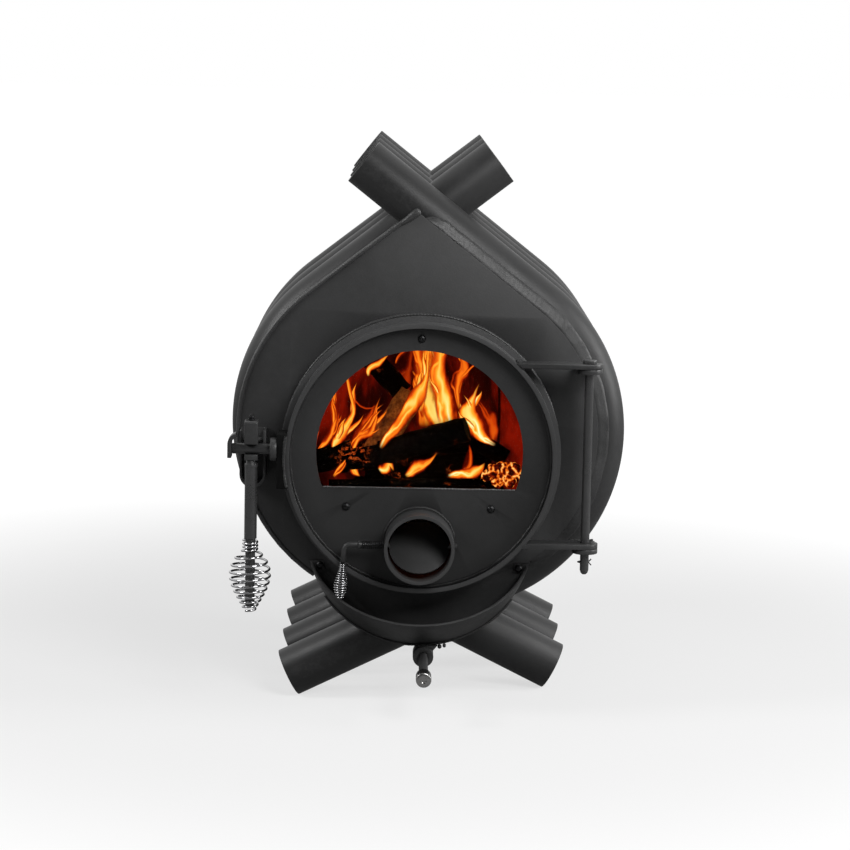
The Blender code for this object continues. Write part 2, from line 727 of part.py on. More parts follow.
def hinge_parts(hinge):
    """Two brackets on the front plate carry the pin; the door's leaves rest on them."""
    for label, top in (("upper", LEAF_TOP_Z), ("lower", LEAF_LOW_Z)):
        low = top - LEAF_T
        drop = max(abs(low - DOOR_Z), abs(top - DOOR_Z))
        inner = DOOR_X + math.sqrt(RIM_R ** 2 - drop ** 2) - LEAF_T / 2
        back = min(HINGE.y + HINGE_EYE_R, FLANGE_BACK - FLANGE_T - SEAT)
        front = HINGE.y - HINGE_EYE_R
        round_end = [(x, min(y, back)) for x, y in eye(-math.pi / 2)]
        name = f"door_leaf_{label}"
        made = leaf(name, round_end + [(inner, back), (inner, front)], low, painted(name), hinge)
        rim = disc(RIM_R + SEAT, -HINGE_EYE_R, 3 * HINGE_EYE_R)
        cut(made, turned(rim, (DOOR_X, front, DOOR_Z), (0, 1, 0)), f"rim_cut_{label}")
        low = top - 2 * LEAF_T - SEAT
        heel = [(HINGE.x + HINGE_EYE_R, PLATE_FACE - SEAT), (HINGE.x - HINGE_EYE_R, PLATE_FACE - SEAT)]
        name = f"hinge_bracket_{label}"
        leaf(name, eye(math.pi) + heel, low, painted(name), None)

    low = LEAF_LOW_Z - 2 * LEAF_T - SEAT - PIN_BELOW
    high = LEAF_TOP_Z + SEAT
    profile = [(0, low), (HINGE_PIN_R / 2, low + HINGE_PIN_R / 5), (HINGE_PIN_R, low + HINGE_PIN_R),
               (HINGE_PIN_R, high), (PIN_HEAD_R, high), (PIN_HEAD_R, high + PIN_HEAD_H),
               (0, high + PIN_HEAD_H)]
    pin = body("hinge_pin", turned(profile, (HINGE.x, HINGE.y, 0), (0, 0, 1), 20),
               painted("hinge_pin"), (HINGE.x, HINGE.y, low))
    cotter_z = LEAF_LOW_Z - 2 * LEAF_T - SEAT - COTTER_BELOW
    ends = (HINGE.x - COTTER_L / 2, HINGE.y, cotter_z)
    bore = disc(COTTER_R + SEAT, 0, COTTER_L)
    cut(pin, turned(bore, ends, (1, 0, 0), 12), "cotter_bore")
    body("hinge_cotter", turned(disc(COTTER_R, 0, COTTER_L), ends, (1, 0, 0), 12),
         painted("hinge_cotter"), ends)


def inlet(hinge):
    place = (INLET_X, INLET_MOUTH, INLET_Z)
    profile = ring(INLET_R - INLET_WALL, INLET_R, 0, INLET_LENGTH)
    pipe = body("air_inlet_pipe", turned(profile, place, (0, 1, 0), 32), painted("air_inlet_pipe"),
                place, hinge)
    bore = disc(SHAFT_R + RUNNING, -2 * INLET_R, 2 * INLET_R)
    cut(pipe, turned(bore, (INLET_X, SHAFT_Y, INLET_Z), (1, 0, 0), 12), "damper_bore")


def air_damper(axle):
    """Butterfly on a cross shaft, bent down outside the pipe into a coil grip."""
    x = INLET_X
    z = INLET_Z
    right = x + INLET_R + SHAFT_RIGHT
    left = x - SHAFT_LEFT
    low = z - SHAFT_BEND_R - SHAFT_DROP
    points = [Vector((right, SHAFT_Y, z)), Vector((left, SHAFT_Y, z))]
    bend = arc((left, z - SHAFT_BEND_R), SHAFT_BEND_R, math.pi / 2, math.pi, 5)
    points += [Vector((a, SHAFT_Y, b)) for a, b in bend[1:]]
    outer = left - SHAFT_BEND_R
    points += [Vector((outer - SHAFT_LEAN, SHAFT_Y, low))]
    lean = (points[-1] - points[-2]).normalized()
    step = points[-1] + lean * SMALL_WIRE_R / 2
    tail = points[-1] + lean * (SMALL_GRIP_L - SMALL_CORE_R)
    radii = [1] * len(points) + [SMALL_CORE_R / SHAFT_R] * 2
    wire("damper_shaft", points + [step, tail], SHAFT_R, painted("damper_shaft"), axle,
         axle.location, 2, radii)

    across = Vector((0, math.cos(VALVE_TILT), -math.sin(VALVE_TILT)))
    centre = axle.location + across * (SHAFT_R + SEAT)
    valve_r = INLET_R - INLET_WALL - VALVE_PLAY
    body("damper_plate", turned(disc(valve_r, 0, VALVE_T), centre, across, 32),
         painted("damper_plate"), axle.location, axle)

    wall = x - INLET_R - SEAT
    washer = wall - SPRING_LENGTH - 2 * SEAT - WASHER_T
    profile = ring(SHAFT_R + SEAT, WASHER_R, 0, WASHER_T)
    body("damper_washer", turned(profile, (washer, SHAFT_Y, z), (1, 0, 0), 16),
         painted("damper_washer"), axle.location, axle)
    coil_r = SHAFT_R + RUNNING + SPRING_WIRE_R
    room = SPRING_LENGTH - 2 * SPRING_WIRE_R
    start = (wall - SPRING_WIRE_R, SHAFT_Y, z)
    points = coil(start, (-1, 0, 0), lambda t: coil_r, lambda t: room * t, SPRING_TURNS,
                  SPRING_WIRE_R)
    least_gap("damper_spring", points, SPRING_WIRE_R)
    wire("damper_spring", points, SPRING_WIRE_R, finish_of("spring_steel", (0.08, 0.08, 0.08), 0.4, 0.8),
         axle, axle.location)

    top = step + lean * (SMALL_WIRE_R + SEAT)
    neck = SMALL_CORE_R + RUNNING + SMALL_WIRE_R
    swell = SMALL_GRIP_R - SMALL_WIRE_R - neck
    points = coil(top, lean, lambda t: neck + swell * math.sin(math.pi * t ** 1.9) ** 1.2 + 0.0006 * t,
                  lambda t: SMALL_GRIP_L * (0.85 * t + 0.15 * t * t), SMALL_GRIP_TURNS, SMALL_WIRE_R)
    least_gap("damper_grip", points, SMALL_WIRE_R)
    wire("damper_grip", points, SMALL_WIRE_R, chromed("damper_grip"), axle, axle.location)


def latch_arm(hinge):
    """Bearing plate welded to the left of the door rim."""
    left = ARM_LEFT
    steps = 6
    top = LATCH_Z + ARM_TOP
    low = LATCH_Z - ARM_LOW
    rim = RIM_R + SEAT
    follow = []
    for index in range(steps + 1):
        z = low + (top - low) * index / steps
        follow.append((DOOR_X - math.sqrt(rim ** 2 - (z - DOOR_Z) ** 2), z))
    outline = [(left, top), (left, low)] + follow
    front = LATCH.y - ARM_FRONT
    back = FLANGE_BACK - FLANGE_T - SEAT
    arm = body("latch_arm", prism(outline, front, back), painted("latch_arm"),
               (left, LATCH.y, LATCH_Z), hinge)
    bore = disc(SPINDLE_R + RUNNING, -ARM_T, 3 * ARM_T)
    cut(arm, turned(bore, (left, LATCH.y, LATCH_Z), (1, 0, 0), 20), "spindle_bore")


def latch_parts(axle):
    """Spindle, claw, lever with its hooked nose, handle and grip: all turn together."""
    y = LATCH.y
    z = LATCH_Z
    shoulder = ARM_LEFT - SEAT - COLLAR_DISC_T
    reach = shoulder - SPINDLE_LEFT
    end = reach + COLLAR_DISC_T + SEAT + ARM_T
    profile = [(0, 0), (SPINDLE_R, 0), (SPINDLE_R, reach), (COLLAR_DISC_R, reach),
               (COLLAR_DISC_R, reach + COLLAR_DISC_T), (SPINDLE_R, reach + COLLAR_DISC_T),
               (SPINDLE_R, end), (0, end)]
    body("latch_spindle", turned(profile, (SPINDLE_LEFT, y, z), (1, 0, 0), 24),
         painted("latch_spindle"), axle.location, axle)

    face = SPINDLE_LEFT - SEAT
    centre = (face - CLAW_T + CLAW_BEND_R, z + CLAW_HIGH)
    claw = [(face, z - CLAW_LOW), (face - CLAW_T, z - CLAW_LOW)]
    claw += arc(centre, CLAW_BEND_R, math.pi, math.pi - CLAW_BEND, 6)
    claw += arc(centre, CLAW_BEND_R - CLAW_T, math.pi - CLAW_BEND, math.pi, 6)
    body("latch_claw", prism(claw, y - CLAW_W / 2, y + CLAW_W / 2), painted("latch_claw"),
         axle.location, axle)

    bore = SPINDLE_R + SEAT
    front = -LEVER_FRONT
    top = LEVER_TOP
    soft = LEVER_CHAMFER
    chin = -HANDLE_R - RUNNING
    foot = -LEVER_FOOT
    hook = NOSE_REACH - NOSE_TIP
    crest = BAR_RISE - BAR_R - RUNNING
    outline = [(front, bore), (bore, bore), (bore, -bore), (chin, -bore), (chin, foot),
               (NOSE_REACH - NOSE_CHAMFER, foot), (NOSE_REACH, foot + NOSE_CHAMFER),
               (NOSE_REACH, crest), (hook, crest), (hook, foot + NOSE_T),
               (LEVER_BACK, foot + NOSE_T), (LEVER_BACK, top - soft), (LEVER_BACK - soft, top),
               (front + soft, top), (front, top - soft)]
    outline = [(y + a, z + b) for a, b in outline]
    lever = body("latch_lever", prism(outline, LATCH.x - LEVER_W / 2, LATCH.x + LEVER_W / 2, "X"),
                 painted("latch_lever"), axle.location, axle)
    cap = (LATCH.x, y + (LEVER_BACK - LEVER_FRONT) / 2, z + LEVER_TOP + SEAT)
    bore = disc(CAP_SCREW_R + SEAT, -CAP_SCREW_L - 2 * SEAT, CAP_WASHER_T)
    cut(lever, turned(bore, cap, (0, 0, 1), 12), "cap_screw_bore")
    crown = CAP_WASHER_T + CAP_HEAD_H
    profile = [(0, -CAP_SCREW_L), (CAP_SCREW_R, -CAP_SCREW_L), (CAP_SCREW_R, 0),
               (CAP_WASHER_R, 0), (CAP_WASHER_R, CAP_WASHER_T), (CAP_HEAD_R, CAP_WASHER_T),
               (CAP_HEAD_R, crown - CAP_HEAD_R / 3), (CAP_HEAD_R * 2 / 3, crown), (0, crown)]
    body("latch_cap_screw", turned(profile, cap, (0, 0, 1), 12),
         finish_of("cap_screw", (0.07, 0.07, 0.072), 0.4, 0.7), axle.location, axle)

    top = z - LEVER_FOOT - SEAT
    tail = HANDLE_L + coil_length() - 2 * BIG_WIRE_R
    band = NECK_H + BAND_H
    profile = [(0, 0), (NECK_R, 0), (NECK_R, -NECK_H), (BAND_R, -NECK_H), (BAND_R, -band),
               (HANDLE_R, -band), (HANDLE_R, -HANDLE_L), (HANDLE_CORE_R, -HANDLE_L),
               (HANDLE_CORE_R, -tail + HANDLE_CORE_R / 2), (HANDLE_CORE_R / 2, -tail), (0, -tail)]
    body("latch_handle", turned(profile, (LATCH.x, y, top), (0, 0, 1), 12),
         painted("latch_handle"), axle.location, axle)

    start = Vector((LATCH.x, y, top - HANDLE_L - BIG_WIRE_R - SEAT))
    neck_share = BIG_NECK_TURNS / (BIG_NECK_TURNS + BIG_BULB_TURNS)
    neck_r = HANDLE_CORE_R + BIG_WIRE_R + 2 * RUNNING
    swell = BIG_GRIP_R - BIG_WIRE_R - neck_r + BIG_GRIP_CLOSE / 3

    def radius_at(share):
        if share <= neck_share:
            return neck_r
        bulb = (share - neck_share) / (1 - neck_share)
        return neck_r - BIG_GRIP_CLOSE * bulb + swell * max(math.sin(math.pi * bulb ** 0.66), 0) ** 1.4

    def height_at(share):
        neck = min(share / neck_share, 1) * BIG_NECK_TURNS * BIG_NECK_PITCH
        bulb = max((share - neck_share) / (1 - neck_share), 0)
        fall = BIG_PITCH_TOP * bulb - (BIG_PITCH_TOP - BIG_PITCH_END) * bulb ** 3 / 3
        return neck + BIG_BULB_TURNS * fall

    points = coil(start, (0, 0, -1), radius_at, height_at, BIG_NECK_TURNS + BIG_BULB_TURNS, BIG_WIRE_R)
    least_gap("latch_grip", points, BIG_WIRE_R)
    wire("latch_grip", points, BIG_WIRE_R, chromed("latch_grip"), axle, axle.location)


def coil_length():
    """Height of the big grip from its first turn to its last."""
    fall = BIG_PITCH_TOP - (BIG_PITCH_TOP - BIG_PITCH_END) / 3
    return BIG_NECK_TURNS * BIG_NECK_PITCH + BIG_BULB_TURNS * fall


def latch_keeper():
    """U-shaped housing on the front plate with the bar that the lever's nose passes under."""
    def hollow(inset, top):
        half = KEEPER_W / 2 - inset
        low = LATCH_Z - KEEPER_LOW + KEEPER_W / 2
        cup = arc((LATCH.x, low), half, math.pi, math.tau, 12)
        return [(LATCH.x + half, top), (LATCH.x - half, top)] + cup

    back = PLATE_FACE - SEAT
    front = back - KEEPER_DEPTH
    top = LATCH_Z + KEEPER_TOP
    keeper = body("latch_keeper", prism(hollow(0, top), front, back), painted("latch_keeper"),
                  (LATCH.x, back, LATCH_Z))
    inside = prism(hollow(KEEPER_T, top + KEEPER_T), front - KEEPER_T, back - KEEPER_T)
    cut(keeper, inside, "keeper_cut")
    half = KEEPER_W / 2 - KEEPER_T - SEAT
    place = (LATCH.x - half, LATCH.y + BAR_BACK, LATCH_Z + BAR_RISE)
    body("keeper_bar", turned(disc(BAR_R, 0, 2 * half), place, (1, 0, 0), 16),
         painted("keeper_bar"), place)


def apron_screw_places():
    z = APRON_Z - APRON_SCREW_DROP
    return [(APRON_X - APRON_SCREW_X, z), (APRON_X + APRON_SCREW_X, z)]


def apron():
    """Half-round chute below the door that climbs towards its lip."""
    centre = (APRON_X, APRON_Z)
    back = PLATE_FACE - SEAT
    far = APRON_OUT * 1.15
    swing = math.radians(8)
    outline = arc(centre, APRON_R, math.pi - swing, math.tau + swing, 20)
    outline += arc(centre, APRON_R - APRON_T, math.tau + swing, math.pi - swing, 20)
    bm = prism(outline, back, back - far)
    slope = APRON_CLIMB / APRON_OUT
    for vert in bm.verts:
        vert.co.z += (back - vert.co.y) * slope
    chute = body("ash_apron", bm, painted("ash_apron"), (APRON_X, back, centre[1]))

    high = centre[1] - APRON_END
    lip = centre[1] - APRON_R + APRON_CLIMB + APRON_T
    tilt = (high - lip) / APRON_OUT
    side = 2 * APRON_R
    trim = [(back + 0.01, high + 0.01 * tilt), (back - far - 0.02, high - (far + 0.02) * tilt),
            (back - far - 0.02, high + side), (back + 0.01, high + side)]
    cut(chute, prism(trim, APRON_X - side, APRON_X + side, "X"), "apron_trim")

    for index, (x, z) in enumerate(apron_screw_places()):
        way = -1 if index == 0 else 1
        wall = math.sqrt((APRON_R - APRON_T / 2) ** 2 - (z - centre[1]) ** 2)
        span = sorted((x - way * 2 * SCREW_R, APRON_X + way * wall))
        ear = block((span[0], back - APRON_T, z - 2 * SCREW_R), (span[1], back, z + 2 * SCREW_R))
        cut(chute, ear, f"apron_ear_{index + 1}", "UNION")
        bore = turned(disc(SCREW_R + SEAT, -APRON_T, 3 * APRON_T), (x, back - APRON_T, z),
                      (0, 1, 0), SCREW_STEPS)
        cut(chute, bore, f"apron_bore_{index + 1}")
        length = APRON_T + 2 * SEAT + PLATE_T - 0.0006
        screw(f"apron_screw_{index + 1}", (x, back - APRON_T - SEAT, z), length)


def pull_rod(slider):
    """Rod with a turned knob that slides in a bush hung under the apron."""
    bush_face = PLATE_FACE - BUSH_FRONT
    bush = body("rod_bush", turned(disc(BUSH_R, 0, BUSH_L), (ROD_X, bush_face, ROD_Z), (0, 1, 0), 24),
                painted("rod_bush"), (ROD_X, bush_face, ROD_Z))
    top = APRON_Z - APRON_R - SEAT
    web = [(ROD_X - WEB_LEFT, ROD_Z), (ROD_X + WEB_LEFT, ROD_Z), (ROD_X + WEB_RIGHT, top),
           (ROD_X - WEB_LEFT, top)]
    front = PLATE_FACE - SEAT - WEB_T
    cut(bush, prism(web, front, front + WEB_T), "bush_web", "UNION")
    bore = disc(ROD_R + RUNNING, -BUSH_L, 2 * BUSH_L)
    cut(bush, turned(bore, (ROD_X, bush_face, ROD_Z), (0, 1, 0), 20), "bush_bore")

    knob_face = FIRST_Y - ROD_REACH
    rod_start = knob_face + KNOB_L + SEAT
    stop = bush_face + BUSH_L + RUNNING + ROD_TRAVEL
    end = stop + STOP_T + ROD_TAIL
    profile = [(0, 0), (ROD_R, 0), (ROD_R, stop - rod_start), (STOP_R, stop - rod_start),
               (STOP_R, stop + STOP_T - rod_start), (ROD_R, stop + STOP_T - rod_start),
               (ROD_R, end - rod_start), (0, end - rod_start)]
    body("pull_rod", turned(profile, (ROD_X, rod_start, ROD_Z), (0, 1, 0), 20), painted("pull_rod"),
         slider.location, slider)
    edge = KNOB_EDGE
    profile = [(0, 0), (KNOB_R - edge, 0), (KNOB_R, edge), (KNOB_R, KNOB_L - edge),
               (KNOB_R - edge, KNOB_L), (0, KNOB_L)]
    body("rod_knob", turned(profile, (ROD_X, knob_face, ROD_Z), (0, 1, 0), 24),
         finish_of("bright_steel", (0.55, 0.54, 0.52), 0.3, 1.0), slider.location, slider)


def flue(axle):
    place = (0, REAR_FACE + SEAT, FLUE_Z)
    profile = ring(FLUE_R - FLUE_WALL, FLUE_R, 0, FLUE_LENGTH)
    collar = body("flue_collar", turned(profile, place, (0, 1, 0), 36), painted("flue_collar"), place)
    bore = disc(FLUE_SHAFT_R + RUNNING, -2 * FLUE_R, 2 * FLUE_R)
    cut(collar, turned(bore, (0, FLUE_Y, FLUE_Z), (1, 0, 0), 12), "flue_shaft_bore")

    left = -FLUE_R - FLUE_SHAFT_R
    right = FLUE_R + FLUE_HANDLE_OUT
    bend = arc((right, FLUE_Y + 2 * FLUE_SHAFT_R), 2 * FLUE_SHAFT_R, -math.pi / 2, 0, 4)
    points = [(left, FLUE_Y, FLUE_Z)] + [(a, b, FLUE_Z) for a, b in bend]
    points += [(right + 2 * FLUE_SHAFT_R, FLUE_Y + FLUE_HANDLE_L, FLUE_Z)]
    wire("flue_damper_shaft", points, FLUE_SHAFT_R, painted("flue_damper_shaft"), axle,
         axle.location, 2)
    centre = (0, FLUE_Y, FLUE_Z + FLUE_SHAFT_R + SEAT)
    valve_r = FLUE_R - FLUE_WALL - FLUE_VALVE_PLAY
    body("flue_damper_plate", turned(disc(valve_r, 0, FLUE_VALVE_T), centre, (0, 0, 1), 32),
         painted("flue_damper_plate"), axle.location, axle)


def build():
    clear_scene()
    for index in range(TUBE_COUNT):
        tube(index)
    side_strips()
    end_strips()
    firebox_plates()
    door_collar()

    hinge = pivot("door_axis", HINGE)
    door_shell(hinge)
    door_gasket(hinge)
    window_parts(hinge)
    hinge_parts(hinge)
    inlet(hinge)
    air_damper(pivot("air_damper_axis", (INLET_X, SHAFT_Y, INLET_Z)))
    latch_arm(hinge)
    latch_parts(pivot("latch_axis", LATCH))
    latch_keeper()
    apron()
    pull_rod(pivot("pull_rod_axis", (ROD_X, PLATE_FACE, ROD_Z)))
    flue(pivot("flue_damper_axis", (0, FLUE_Y, FLUE_Z)))


build()
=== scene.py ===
"""Looks of a hot-air wood stove: crossed tubes, round door, window with its fire, latch, dampers and flue.

Metres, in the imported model's frame: X to the right, the door faces -Y, the feet stand on Z = 0.
"""
import json
import math
import random

import bmesh
import bpy
from mathutils import Matrix, Vector, noise

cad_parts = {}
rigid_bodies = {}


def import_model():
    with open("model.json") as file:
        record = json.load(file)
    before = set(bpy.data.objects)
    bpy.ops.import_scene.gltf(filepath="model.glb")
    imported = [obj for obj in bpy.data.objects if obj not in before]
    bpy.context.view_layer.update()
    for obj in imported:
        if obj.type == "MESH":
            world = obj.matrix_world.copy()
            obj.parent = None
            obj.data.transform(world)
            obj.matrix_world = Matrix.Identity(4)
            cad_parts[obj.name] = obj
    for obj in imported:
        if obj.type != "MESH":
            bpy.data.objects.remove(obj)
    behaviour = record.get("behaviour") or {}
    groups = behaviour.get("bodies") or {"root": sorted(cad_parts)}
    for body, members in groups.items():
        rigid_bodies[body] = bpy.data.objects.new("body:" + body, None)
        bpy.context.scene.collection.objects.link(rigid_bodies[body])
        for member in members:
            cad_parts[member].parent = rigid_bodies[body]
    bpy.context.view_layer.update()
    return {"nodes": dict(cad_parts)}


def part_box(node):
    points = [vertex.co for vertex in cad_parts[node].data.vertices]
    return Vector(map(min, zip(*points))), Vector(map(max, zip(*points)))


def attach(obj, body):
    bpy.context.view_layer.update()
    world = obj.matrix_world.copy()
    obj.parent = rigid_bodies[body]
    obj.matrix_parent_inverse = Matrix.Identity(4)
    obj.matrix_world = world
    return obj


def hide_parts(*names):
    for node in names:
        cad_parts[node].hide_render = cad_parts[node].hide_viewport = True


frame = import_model()

# Tubes
TUBE_COUNT = 7
TUBE_R = 0.0285
TUBE_WALL = 0.003
BEND_R = 0.186
BEND_X = 0.015
BEND_Z = 0.317864
FOOT_SLOPE = math.radians(26.3)
CROWN_SLOPE = math.radians(37.9)
FOOT_RUN = 0.2834
CROWN_RUN = 0.2637
FOOT_TURN = FOOT_SLOPE - math.pi / 2
CROWN_TURN = math.pi / 2 - CROWN_SLOPE
FIRST_Y = -0.16825
PITCH = 0.0574
TUBE_SIDES = 48
BEND_STEPS = 60

# Plates and strips
PLATE_FACE = -0.20205
PLATE_BACK = -0.19705
REAR_FACE = 0.20995
PLATE_T = 0.005
PLATE_INSET = 0.004
PLATE_REACH = 0.016
STRIP_T = 0.004
SEAT = 0.0003

# Door
DOOR = (-0.007, 0.296364)
COLLAR_FACE = -0.22635
COLLAR_BORE = 0.150
COLLAR_R = 0.158
FLANGE_BACK = -0.22915
RIM_R = 0.154
RIM_INNER = 0.149
FLANGE_R = 0.160
FLANGE_T = 0.005
DISC_T = 0.005
ROPE_W = 0.0065
ROPE_T = 0.0022
RIM_H = 0.032
DISC_H = RIM_H - 0.013
DISC_HOLE = (-0.0025, 0.0075)
WINDOW_SCREW_X = 0.0825
WINDOW_SCREW_L = 0.0086
RIM_FACE = -0.26115
DISC_FACE = -0.24815
DISC_BACK = -0.24315
WINDOW = (-0.0085, 0.301364)
WINDOW_R = 0.1175
WINDOW_SILL = 0.040
GLASS_LAP = 0.008
GLASS_T = 0.004
TAPE_T = 0.002
INLET = (-0.007, 0.198864)
INLET_R = 0.0397
INLET_BORE = 0.036
INLET_MOUTH = -0.29745
HINGE = (0.182, -0.24845)
HINGE_PIN_R = 0.005
HINGE_HEAD_R = 0.008
HINGE_HEAD_H = 0.0035
COTTER_BORE = 0.0018
COTTER_WIRE_R = 0.0007
COTTER_APART = 0.00072
SCREW_BORE = 0.0028
SCREW_SHANK = 0.0025
SCREW_HEAD_R = 0.0046
SCREW_HEAD_H = 0.0028

# Air damper
SHAFT_Y = -0.26845
SHAFT_R = 0.0031
SHAFT_BEND_R = 0.007
SHAFT_REACH = 0.078
SHAFT_CLEAR = 0.0005
VALVE_TILT = math.radians(41)
VALVE_T = 0.0025
SPRING_WIRE_R = 0.0006
SMALL_CORE_R = 0.0020
SMALL_WIRE_R = 0.00075
SMALL_GRIP_R = 0.0082
SMALL_GRIP_L = 0.040
SMALL_GRIP_TURNS = 15
SPRING_L = 0.0262
SPRING_TURNS = 11

# Latch
LATCH = (-0.1985, -0.26425, 0.305964)
SPINDLE_R = 0.006
SPINDLE_WASHER_R = 0.013
SPINDLE_WASHER_T = 0.0075
LEVER_T = 0.0082
HANDLE_R = 0.0071
HANDLE_L = 0.090
BIG_CORE_R = 0.0056
BIG_WIRE_R = 0.0013
BIG_GRIP_R = 0.0240
BIG_NECK_TURNS = 3
BIG_BULB_TURNS = 10
BIG_NECK_PITCH = 0.0040
BIG_FIRST_PITCH = 0.0083
BIG_LAST_PITCH = 0.0043
BIG_GRIP_CLOSE = 0.0018

# Apron, pull rod and flue
APRON = (-0.006, 0.201864)
APRON_R = 0.132
APRON_T = 0.003
APRON_REACH = 0.071
APRON_CLIMB = 0.036
APRON_SWING = math.radians(8)
APRON_SCREW_DROP = 0.040
APRON_SCREW_L = 0.0080
ROD = (0.0005, 0.056964)
ROD_R = 0.0053
ROD_TRAVEL = 0.025
ROD_STOP_R = 0.0095
ROD_STOP_T = 0.004
BUSH_AHEAD = 0.012
BUSH_L = 0.030
KNOB_R = 0.0087
FLUE_Z = 0.454864
FLUE_Y = 0.26925
FLUE_R = 0.060
FLUE_WALL = 0.003
FLUE_SHAFT_R = 0.004

# Firebox
BED_Y = -0.045
BED_FLOOR = 0.200
BED_RISE = 0.050
BED_HALF = (0.118, 0.130)
EMBER_LEVEL = (0.242, 0.256)
GLOW_CENTRE = (-0.004, 0.312)
GLOW_R = 0.140
GLOW_SPAN = (-0.046, -0.042)
LINING_EDGE = (0.083, 0.087)
LINING_JOINT = 0.0865
LINING_TOP = (0.345, 0.325)

# Camera: a little left of the door's middle and above it, far off with a long lens
CAMERA_PLACE = (-0.0330, -3.30855, 0.7809)
CAMERA_PITCH = math.radians(8.303)
CAMERA_YAW = math.radians(0.561)
CAMERA_ROLL = math.radians(-1.171)
LENS = 115.6

# Light of the room, and what its dark side is to a mirror
AMBIENT = 0.085
ROOM_GLOSS = 0.04
LAMP_AIM = (0, 0, 0.33)

# Lamps: name, place, size and power
LAMPS = [("key_softbox", (1.2, -2.3, 2.0), 1.2, 59), ("left_softbox", (-2.0, -0.8, 1.7), 0.8, 28),
         ("right_softbox", (2.1, -0.4, 1.0), 1.0, 34), ("top_softbox", (0.1, 0.2, 2.6), 1.6, 4)]

# Wear and painted light: how much brighter or darker a place gets, with painted highlight on the door's
# rim and painted shade inside it
RIM_RUB_AND_HIGHLIGHT_TONE = 0.95
CORNER_SHADE_TONE = 0.38
WALL_SHADE_TONE = 0.45
SOOT_TONE = 0.12
BRUSHED_TONE = 0.45
BRUSHED_BAND = (-0.1948, -0.1938)

# Mesh
SPIN_STEPS = 120
SHARP = math.radians(32)
WELD_STEP = 0.0011


# Materials

def feed(tree, made, inputs):
    """Link each input that is given a socket, and set the others."""
    for socket, value in inputs.items():
        if isinstance(value, bpy.types.NodeSocket):
            tree.links.new(value, made.inputs[socket])
        else:
            made.inputs[socket].default_value = value


def node(tree, kind, inputs=None, **settings):
    made = tree.nodes.new("ShaderNode" + kind)
    for key, value in settings.items():
        setattr(made, key, value)
    feed(tree, made, inputs or {})
    return made


def group(name, inputs, outputs):
    tree = bpy.data.node_groups.new(name, "ShaderNodeTree")
    for label, kind, value in inputs:
        socket = tree.interface.new_socket(label, in_out="INPUT", socket_type="NodeSocket" + kind)
        socket.default_value = value
    for label, kind in outputs:
        tree.interface.new_socket(label, in_out="OUTPUT", socket_type="NodeSocket" + kind)
    return tree, tree.nodes.new("NodeGroupInput").outputs, tree.nodes.new("NodeGroupOutput").inputs


def put(tree, outputs, **values):
    for label, value in values.items():
        tree.links.new(value, outputs[label])


def here(tree):
    return node(tree, "TexCoord").outputs["Object"]


def parts_of(tree, vector):
    return node(tree, "SeparateXYZ", {0: vector}).outputs


def maths(tree, operation, *values, clamp=False):
    return node(tree, "Math", dict(enumerate(values)), operation=operation, use_clamp=clamp).outputs[0]


def times(tree, first, second):
    return maths(tree, "MULTIPLY", first, second)


def less(tree, first, second):
    return maths(tree, "SUBTRACT", first, second)


def added(tree, value, amount, base):
    """base + value * amount"""
    return maths(tree, "MULTIPLY_ADD", value, amount, base)


def most(tree, first, second):
    return maths(tree, "MAXIMUM", first, second)


def absolute(tree, value):
    return maths(tree, "ABSOLUTE", value)


def spread(tree, value, low, high, to_low=0.0, to_high=1.0):
    """Map a value between low and high smoothly to another range, and hold it beyond them."""
    inputs = {"Value": value, "From Min": low, "From Max": high, "To Min": to_low, "To Max": to_high}
    return node(tree, "MapRange", inputs, interpolation_type="SMOOTHSTEP").outputs["Result"]


def grain(tree, place, scale, detail=3.0, roughness=0.6, distortion=0.0):
    inputs = {"Vector": place, "Scale": scale, "Detail": detail, "Roughness": roughness,
              "Distortion": distortion}
    return node(tree, "TexNoise", inputs).outputs["Fac"]


def stretched(tree, place, scale, shift=(0, 0, 0)):
    return node(tree, "Mapping", {"Vector": place, "Location": shift, "Scale": scale}).outputs["Vector"]


def tint(tree, colour, amount):
    """Multiply a colour by a grey amount."""
    return node(tree, "VectorMath", {0: colour, "Scale": amount}, operation="SCALE").outputs["Vector"]


def mixed(tree, factor, first, second):
    inputs = {"Factor": factor, 6: first, 7: second}
    return node(tree, "Mix", inputs, data_type="RGBA").outputs[2]


def heat_paint_group():
    """Matte heat paint: cloudy tone, fine specks and a faint orange peel."""
    tree, give, take = group(
        "heat_paint",
        [("Tone", "Color", (0.03, 0.03, 0.03, 1)), ("Clouds", "Float", 0.12), ("Specks", "Float", 0.10),
         ("Rough", "Float", 0.55)],
        [("Color", "Color"), ("Roughness", "Float"), ("Height", "Float")])
    place = here(tree)
    specks = grain(tree, place, 900, 2)
    peel = grain(tree, place, 420, 2)
    cloud = spread(tree, grain(tree, place, 11, 4), 0.3, 0.7, -1.0, 1.0)
    speck = spread(tree, specks, 0.3, 0.7, -1.0, 1.0)
    shade = added(tree, speck, give["Specks"], added(tree, cloud, give["Clouds"], 1.0))
    rough = added(tree, speck, 0.05, added(tree, cloud, 0.05, give["Rough"]))
    put(tree, take, Color=tint(tree, give["Tone"], shade), Roughness=rough,
        Height=added(tree, specks, 0.5, peel))
    return tree


def wear_group():
    """Lighter patches of wear that break up a large painted face."""
    tree, give, take = group("rubbed_patches", [("Amount", "Float", 0.2)], [("Mask", "Float")])
    place = here(tree)
    both = added(tree, grain(tree, place, 130, 3), 0.35, grain(tree, place, 8, 5, 0.65, 0.4))
    put(tree, take, Mask=times(tree, spread(tree, both, 0.55, 0.9), give["Amount"]))
    return tree


